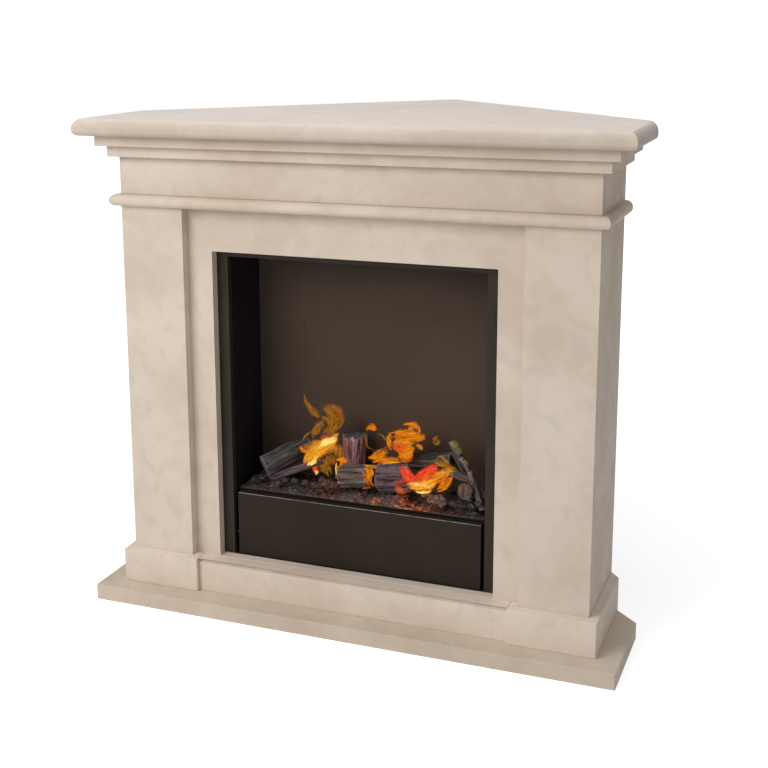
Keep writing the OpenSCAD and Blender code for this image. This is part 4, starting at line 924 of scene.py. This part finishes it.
# Each curl's vapour, how far back it rises, and its path of (across, height, half
# width), all in millimetres.
streams = {
    "flame_plume_tip": ("plume", -200, ((-138, 444, 1.2), (-137, 430, 2.3), (-131, 416, 3.5),
        (-123, 405, 4.3), (-114, 394, 4.6), (-104, 385, 3.1))),
    "flame_plume_tip_edge": ("plume", -204, ((-124, 410, 1.2), (-114, 405, 2.7), (-107, 399, 3.5),
        (-100, 390, 1.9))),
    "flame_plume_crest": ("plume", -204, ((-100, 413, 1.9), (-89, 419, 3.8), (-76, 417, 5.7),
        (-64, 411, 6.5), (-57, 401, 5.3), (-56, 388, 4.6), (-61, 376, 3.8), (-68, 366, 2.3))),
    "flame_plume_crest_low": ("plume", -208, ((-100, 406, 1.5), (-89, 411, 3.1), (-76, 408, 4.6),
        (-67, 401, 4.6), (-63, 391, 4.2), (-68, 377, 3.8), (-74, 365, 2.3))),
    "flame_plume_eye": ("plume", -206, ((-104, 396, 1.9), (-96, 390, 3.5), (-86, 394, 3.1),
        (-81, 385, 2.7), (-83, 370, 1.9))),
    "flame_plume_body": ("plume", -206, ((-114, 341, 3.1), (-114, 358, 7.0), (-106, 372, 7.7),
        (-96, 381, 6.5), (-87, 387, 3.1))),
    "flame_plume_back": ("plume", -202, ((-98, 356, 3.1), (-88, 364, 5.8), (-74, 364, 4.6),
        (-64, 361, 1.9))),
    "flame_plume_thread": ("plume", -200, ((-142, 336, 0.8), (-136, 348, 1.2), (-128, 355, 1.2),
        (-121, 361, 0.8))),
    "flame_plume_ball": ("orange", -214, ((-139, 336, 1.6), (-138, 327, 3.1), (-132, 321, 3.5),
        (-123, 322, 3.1), (-115, 329, 1.5))),
    "flame_plume_haze": ("amber", -196, ((-102, 404, 3.8), (-87, 402, 8.4), (-74, 389, 9.9),
        (-77, 370, 8.4), (-90, 359, 4.6))),
    "flame_plume_ball_top": ("amber", -216, ((-137, 335, 1.6), (-127, 332, 4.7),
        (-117, 331, 3.5))),
    "flame_plume_glow": ("yellow", -210, ((-136, 282, 2.0), (-130, 297, 6.6), (-118, 312, 9.7),
        (-104, 326, 12.4), (-88, 336, 12.3), (-69, 342, 9.9), (-56, 350, 3.0))),
    "flame_plume_core": ("yellow", -214, ((-127, 289, 2.3), (-118, 307, 5.8), (-105, 323, 9.6),
        (-89, 338, 10.4), (-73, 349, 8.8), (-61, 361, 5.7), (-57, 369, 1.5))),
    "flame_plume_heart": ("hot", -228, ((-99, 331, 1.9), (-85, 343, 5.0), (-70, 353, 5.3),
        (-59, 359, 3.8), (-54, 368, 1.5))),
    "flame_plume_foot": ("hot", -226, ((-122, 292, 1.6), (-117, 298, 2.7), (-110, 303, 2.7),
        (-101, 312, 2.3), (-96, 318, 1.2))),
    "flame_plume_foot_low": ("hot", -226, ((-118, 294, 1.2), (-110, 300, 1.5), (-100, 303, 1.2))),
    "flame_plume_red": ("purple", -222, ((-102, 354, 1.5), (-89, 358, 2.7), (-73, 362, 3.0),
        (-59, 367, 1.9))),
    "flame_plume_side": ("plume", -214, ((-63, 344, 3.0), (-57, 335, 5.7), (-59, 321, 6.5),
        (-65, 307, 3.8))),
    "flame_plume_patch": ("orange", -222, ((-62, 315, 2.7), (-51, 314, 4.9), (-43, 313, 4.2),
        (-33, 311, 1.9))),
    "flame_plume_flag": ("orange", -224, ((-49, 314, 4.6), (-49, 301, 6.5), (-50, 289, 5.3),
        (-54, 276, 3.4))),
    "flame_plume_drip": ("hot", -236, ((-53, 315, 0.8), (-54, 300, 1.1), (-53, 287, 1.9),
        (-49, 277, 1.5), (-47, 271, 0.8))),
    "flame_plume_drip_side": ("yellow", -236, ((-38, 295, 1.1), (-43, 286, 2.3), (-48, 275, 1.9))),
    "flame_plume_ember": ("red", -232, ((-96, 300, 1.5), (-100, 292, 3.9), (-103, 281, 2.3))),
    "flame_plume_spark": ("hot", -238, ((-99, 291, 1.2), (-96, 286, 1.9), (-98, 282, 0.8))),
    "flame_plume_veil": ("amber", -206, ((-102, 314, 3.1), (-94, 300, 7.7), (-87, 284, 7.7),
        (-77, 270, 3.9))),
    "flame_plume_veil_right": ("plume", -208, ((-86, 320, 3.9), (-77, 308, 6.9), (-70, 292, 4.6))),
    "flame_loop_head": ("orange", -196, ((-2, 371, 1.9), (1, 378, 4.1), (7, 380, 4.9),
        (13, 376, 3.4), (19, 372, 1.5))),
    "flame_loop_left": ("amber", -198, ((-2, 370, 1.1), (-4, 355, 1.5), (-2, 342, 1.5),
        (6, 335, 1.1), (15, 332, 0.7))),
    "flame_loop_right": ("amber", -194, ((15, 372, 0.7), (27, 367, 0.7), (36, 360, 1.5),
        (41, 355, 1.1))),
    "flame_loop_bottom": ("amber", -198, ((8, 329, 1.5), (19, 333, 1.9), (31, 338, 1.9),
        (41, 345, 1.5))),
    "flame_centre_tail": ("orange", -200, ((0, 315, 1.9), (11, 320, 4.1), (24, 326, 4.9),
        (37, 332, 4.5), (46, 339, 3.3))),
    "flame_centre_tail_low": ("orange", -202, ((9, 308, 2.3), (24, 316, 4.5), (41, 318, 4.5),
        (59, 320, 5.2), (75, 325, 3.3))),
    "flame_centre_left": ("orange", -196, ((43, 375, 1.1), (47, 369, 3.3), (45, 357, 3.3),
        (49, 345, 4.8), (54, 336, 4.4))),
    "flame_centre_brow": ("orange", -194, ((43, 372, 1.1), (55, 374, 2.6), (69, 377, 3.7),
        (83, 380, 2.9), (93, 378, 1.8))),
    "flame_centre_body": ("orange", -192, ((46, 357, 3.7), (60, 365, 8.5), (74, 366, 10.3),
        (91, 370, 8.8), (106, 371, 7.3), (115, 371, 6.5), (122, 371, 4.4))),
    "flame_centre_heart": ("orange", -196, ((51, 348, 5.2), (65, 351, 10.3), (80, 353, 11.0),
        (94, 360, 6.6))),
    "flame_centre_low": ("orange", -198, ((57, 334, 5.2), (69, 335, 9.6), (82, 340, 10.3),
        (94, 347, 5.8), (101, 355, 2.2))),
    "flame_centre_foot": ("orange", -198, ((62, 323, 2.2), (76, 327, 5.9), (90, 332, 5.1),
        (98, 340, 2.6))),
    "flame_centre_curl": ("orange", -188, ((69, 388, 1.1), (75, 393, 1.8), (85, 395, 2.2),
        (96, 393, 4.7), (103, 385, 4.7), (99, 377, 2.9))),
    "flame_centre_nape": ("orange", -190, ((85, 377, 2.6), (89, 385, 4.4), (97, 387, 4.7))),
    "flame_centre_fleck": ("orange", -198, ((99, 353, 1.8), (107, 353, 2.5), (113, 350, 2.5),
        (114, 345, 1.1))),
    "flame_centre_red": ("scarlet", -216, ((56, 359, 1.8), (66, 357, 5.1), (80, 354, 6.2),
        (90, 351, 2.9))),
    "flame_centre_red_low": ("scarlet", -214, ((63, 350, 2.2), (75, 347, 4.4), (87, 344, 2.6))),
    "flame_centre_edge": ("yellow", -228, ((-2, 312, 1.1), (14, 311, 2.2), (30, 312, 2.2),
        (48, 319, 1.8), (67, 325, 1.5), (89, 329, 1.1))),
    "flame_gap": ("orange", -262, ((16, 322, 2.6), (25, 313, 4.8), (23, 301, 4.1), (28, 288, 3.3),
        (38, 281, 1.8))),
    "flame_gap_side": ("orange", -260, ((29, 319, 1.8), (31, 310, 2.9), (29, 299, 2.2))),
    "flame_gap_foot": ("pink", -266, ((13, 276, 0.7), (24, 279, 1.5), (33, 281, 1.1))),
    "flame_bed_glow": ("orange", -236, ((72, 270, 2.6), (88, 278, 5.1), (109, 286, 8.0),
        (130, 292, 11.5), (151, 300, 13.6), (170, 309, 11.3), (185, 319, 6.4))),
    "flame_bed_upper": ("yellow", -226, ((120, 291, 2.2), (136, 300, 5.0), (152, 307, 7.2),
        (169, 315, 7.1), (184, 321, 4.3), (198, 325, 1.8))),
    "flame_bed_crown": ("amber", -214, ((146, 340, 1.8), (152, 334, 4.7), (162, 330, 6.1),
        (173, 325, 6.1), (186, 321, 3.6), (195, 319, 1.4))),
    "flame_bed_crown_top": ("amber", -212, ((147, 336, 1.4), (158, 341, 2.5), (168, 334, 2.9),
        (178, 326, 2.1))),
    "flame_bed_back": ("orange", -218, ((189, 320, 2.8), (183, 308, 4.3), (175, 294, 5.4),
        (161, 282, 5.0), (146, 273, 2.9))),
    "flame_bed_inner": ("scarlet", -236, ((160, 293, 1.8), (166, 303, 4.3), (175, 313, 3.5),
        (182, 321, 1.4))),
    "flame_bed_heart": ("yellow", -262, ((96, 288, 1.8), (110, 292, 4.7), (129, 294, 6.4),
        (147, 299, 6.7), (162, 308, 4.6), (174, 318, 2.1))),
    "flame_bed_core": ("hot", -264, ((103, 294, 1.1), (117, 299, 1.8), (132, 299, 2.1),
        (146, 298, 2.1), (157, 294, 1.8))),
    "flame_bed_foot": ("hot", -264, ((120, 286, 0.7), (133, 283, 1.4), (146, 285, 1.4),
        (156, 291, 1.4))),
    "flame_bed_toe": ("scarlet", -264, ((81, 292, 2.2), (89, 287, 4.3), (99, 281, 4.3),
        (110, 283, 2.2))),
    "flame_red_left": ("red", -262, ((91, 337, 3.2), (97, 328, 6.1), (104, 318, 7.2),
        (110, 308, 7.2), (123, 305, 5.7), (136, 308, 2.8))),
    "flame_red_left_side": ("pink", -260, ((97, 332, 1.8), (105, 324, 3.2), (110, 314, 2.9))),
    "flame_red_right": ("red", -240, ((107, 296, 4.0), (121, 303, 6.5), (134, 312, 7.9),
        (145, 322, 7.8), (157, 329, 6.0), (167, 333, 2.8))),
    "flame_red_right_low": ("red", -238, ((131, 301, 1.8), (144, 310, 3.2), (156, 318, 2.8))),
    "flame_red_low": ("crimson", -264, ((75, 294, 2.2), (86, 297, 4.0), (98, 301, 4.7),
        (109, 304, 2.9))),
    "flame_wisp_left": ("amber", -186, ((130, 356, 1.5), (136, 364, 3.3), (140, 371, 2.9),
        (146, 376, 1.1))),
    "flame_wisp_left_low": ("amber", -188, ((136, 356, 1.4), (144, 362, 2.9), (150, 369, 2.2))),
    "flame_wisp_right": ("olive", -196, ((169, 366, 1.4), (177, 367, 3.6), (185, 364, 4.6),
        (193, 362, 1.8))),
    "flame_wisp_right_low": ("olive", -198, ((183, 357, 2.1), (190, 354, 4.3), (195, 347, 3.2))),
    "flame_wisp_low": ("olive", -206, ((198, 338, 1.8), (206, 335, 3.9), (213, 329, 2.1))),
}


def between(points, t):
    """A place on the smooth curve through the points, t from 0 to 1."""
    spot = t * (len(points) - 1)
    k = min(int(spot), len(points) - 2)
    f = spot - k
    a, b = points[max(k - 1, 0)], points[k]
    c, d = points[k + 1], points[min(k + 2, len(points) - 1)]
    straight = 2 * b + (c - a) * f
    return 0.5 * (straight + (2 * a - 5 * b + 4 * c - d) * f * f + (3 * b - a - 3 * c + d) * f ** 3)


def add_stream(name, finish, depth, path, seed):
    """Flattened, wavering locks and fine threads along a path, all in metres."""
    points = [Vector(p) for p in path]
    steps = rings_per_point * len(points)
    widest = max(p.z for p in points)
    locks = next((number for limit, number in lock_limits if widest < limit), most_locks)
    alone = locks == 1
    chance = random.Random(seed)
    strands = []
    for lock in range(locks):
        start, stop = 0.0, 1.0
        if lock:
            start, stop = chance.uniform(0, 0.22), chance.uniform(0.80, 1.0)
        aside = 0.0 if alone else (lock + 0.5) / locks * 2 - 1
        strands.append((lock_corners, start, stop, aside, 2.0 if alone else 2.7 / locks ** 0.65))
    for thread in range(threads):
        start, stop = chance.uniform(0, 0.3), chance.uniform(0.7, 1.0)
        strands.append((thread_corners, start, stop, chance.uniform(-1.1, 1.1), 0.0))
    hearts, flows = [], []

    def fill(shape):
        for count, (around, start, stop, aside, share) in enumerate(strands):
            loops = []
            run, last = seed * 0.31 + count, None
            for j in range(steps + 1):
                t = start + (stop - start) * j / steps
                here = between(points, t)
                ahead = between(points, min(1.0, t + 0.01)) - between(points, max(0.0, t - 0.01))
                side = Vector((ahead.y, 0, -ahead.x)).normalized()
                taper = math.sin(math.pi * j / steps) ** (0.5 if alone else 0.8) + 0.03
                taper = min(1.0, taper)
                sway = 0.005 * noise.noise((seed * 5.1, t * 3.0, 1.0)) - 0.0012 * count
                middle = Vector((here.x, depth + sway, here.y))
                run += (middle - last).length if last else 0.0
                last = middle
                drift = aside * 0.75
                if not (alone and share):
                    drift += 1.1 * noise.noise((count * 4.7 + seed, run * 32, 7.0))
                middle = middle + side * drift * here.z
                ends = min(1.0, 6 * j / steps + 0.05) * min(1.0, 6 * (1 - j / steps) + 0.05)
                loop = []
                for i in range(around):
                    a = 2 * math.pi * i / around
                    c, s = math.cos(a), math.sin(a)
                    coarse = noise.noise((c * 1.3 + seed, run * 75, s * 1.3 + count))
                    fine = noise.noise((c * 2.1, run * 190, seed * 3.0 + count))
                    ruffle = 1 + 0.45 * coarse + 0.32 * fine
                    wide = (here.z * share if share else thread_width) * taper * ruffle
                    offset = side * c * wide + Vector((0, s * wide * flatness, 0))
                    loop.append(shape.verts.new(middle + offset))
                    hearts.append(ends * (abs(s) ** edge_softness if share else thread_heart))
                    flows.extend((c * wide + drift * here.z, run, s * wide * flatness + seed))
                loops.append(loop)
            join_loops(shape, loops, around)
            shape.faces.new(loops[0])
            shape.faces.new(loops[-1][::-1])

    stream = add_piece(name, fill, finish)
    attributes = stream.data.attributes
    attributes.new("heart", "FLOAT", "POINT").data.foreach_set("value", hearts)
    attributes.new("flow", "FLOAT_VECTOR", "POINT").data.foreach_set("vector", flows)
    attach(stream, "fuel_bed")


for seed, (name, (kind, depth, path)) in enumerate(streams.items()):
    in_metres = [[value / 1000 for value in point] for point in path]
    add_stream(name, vapours[kind], depth / 1000, in_metres, seed + 1)
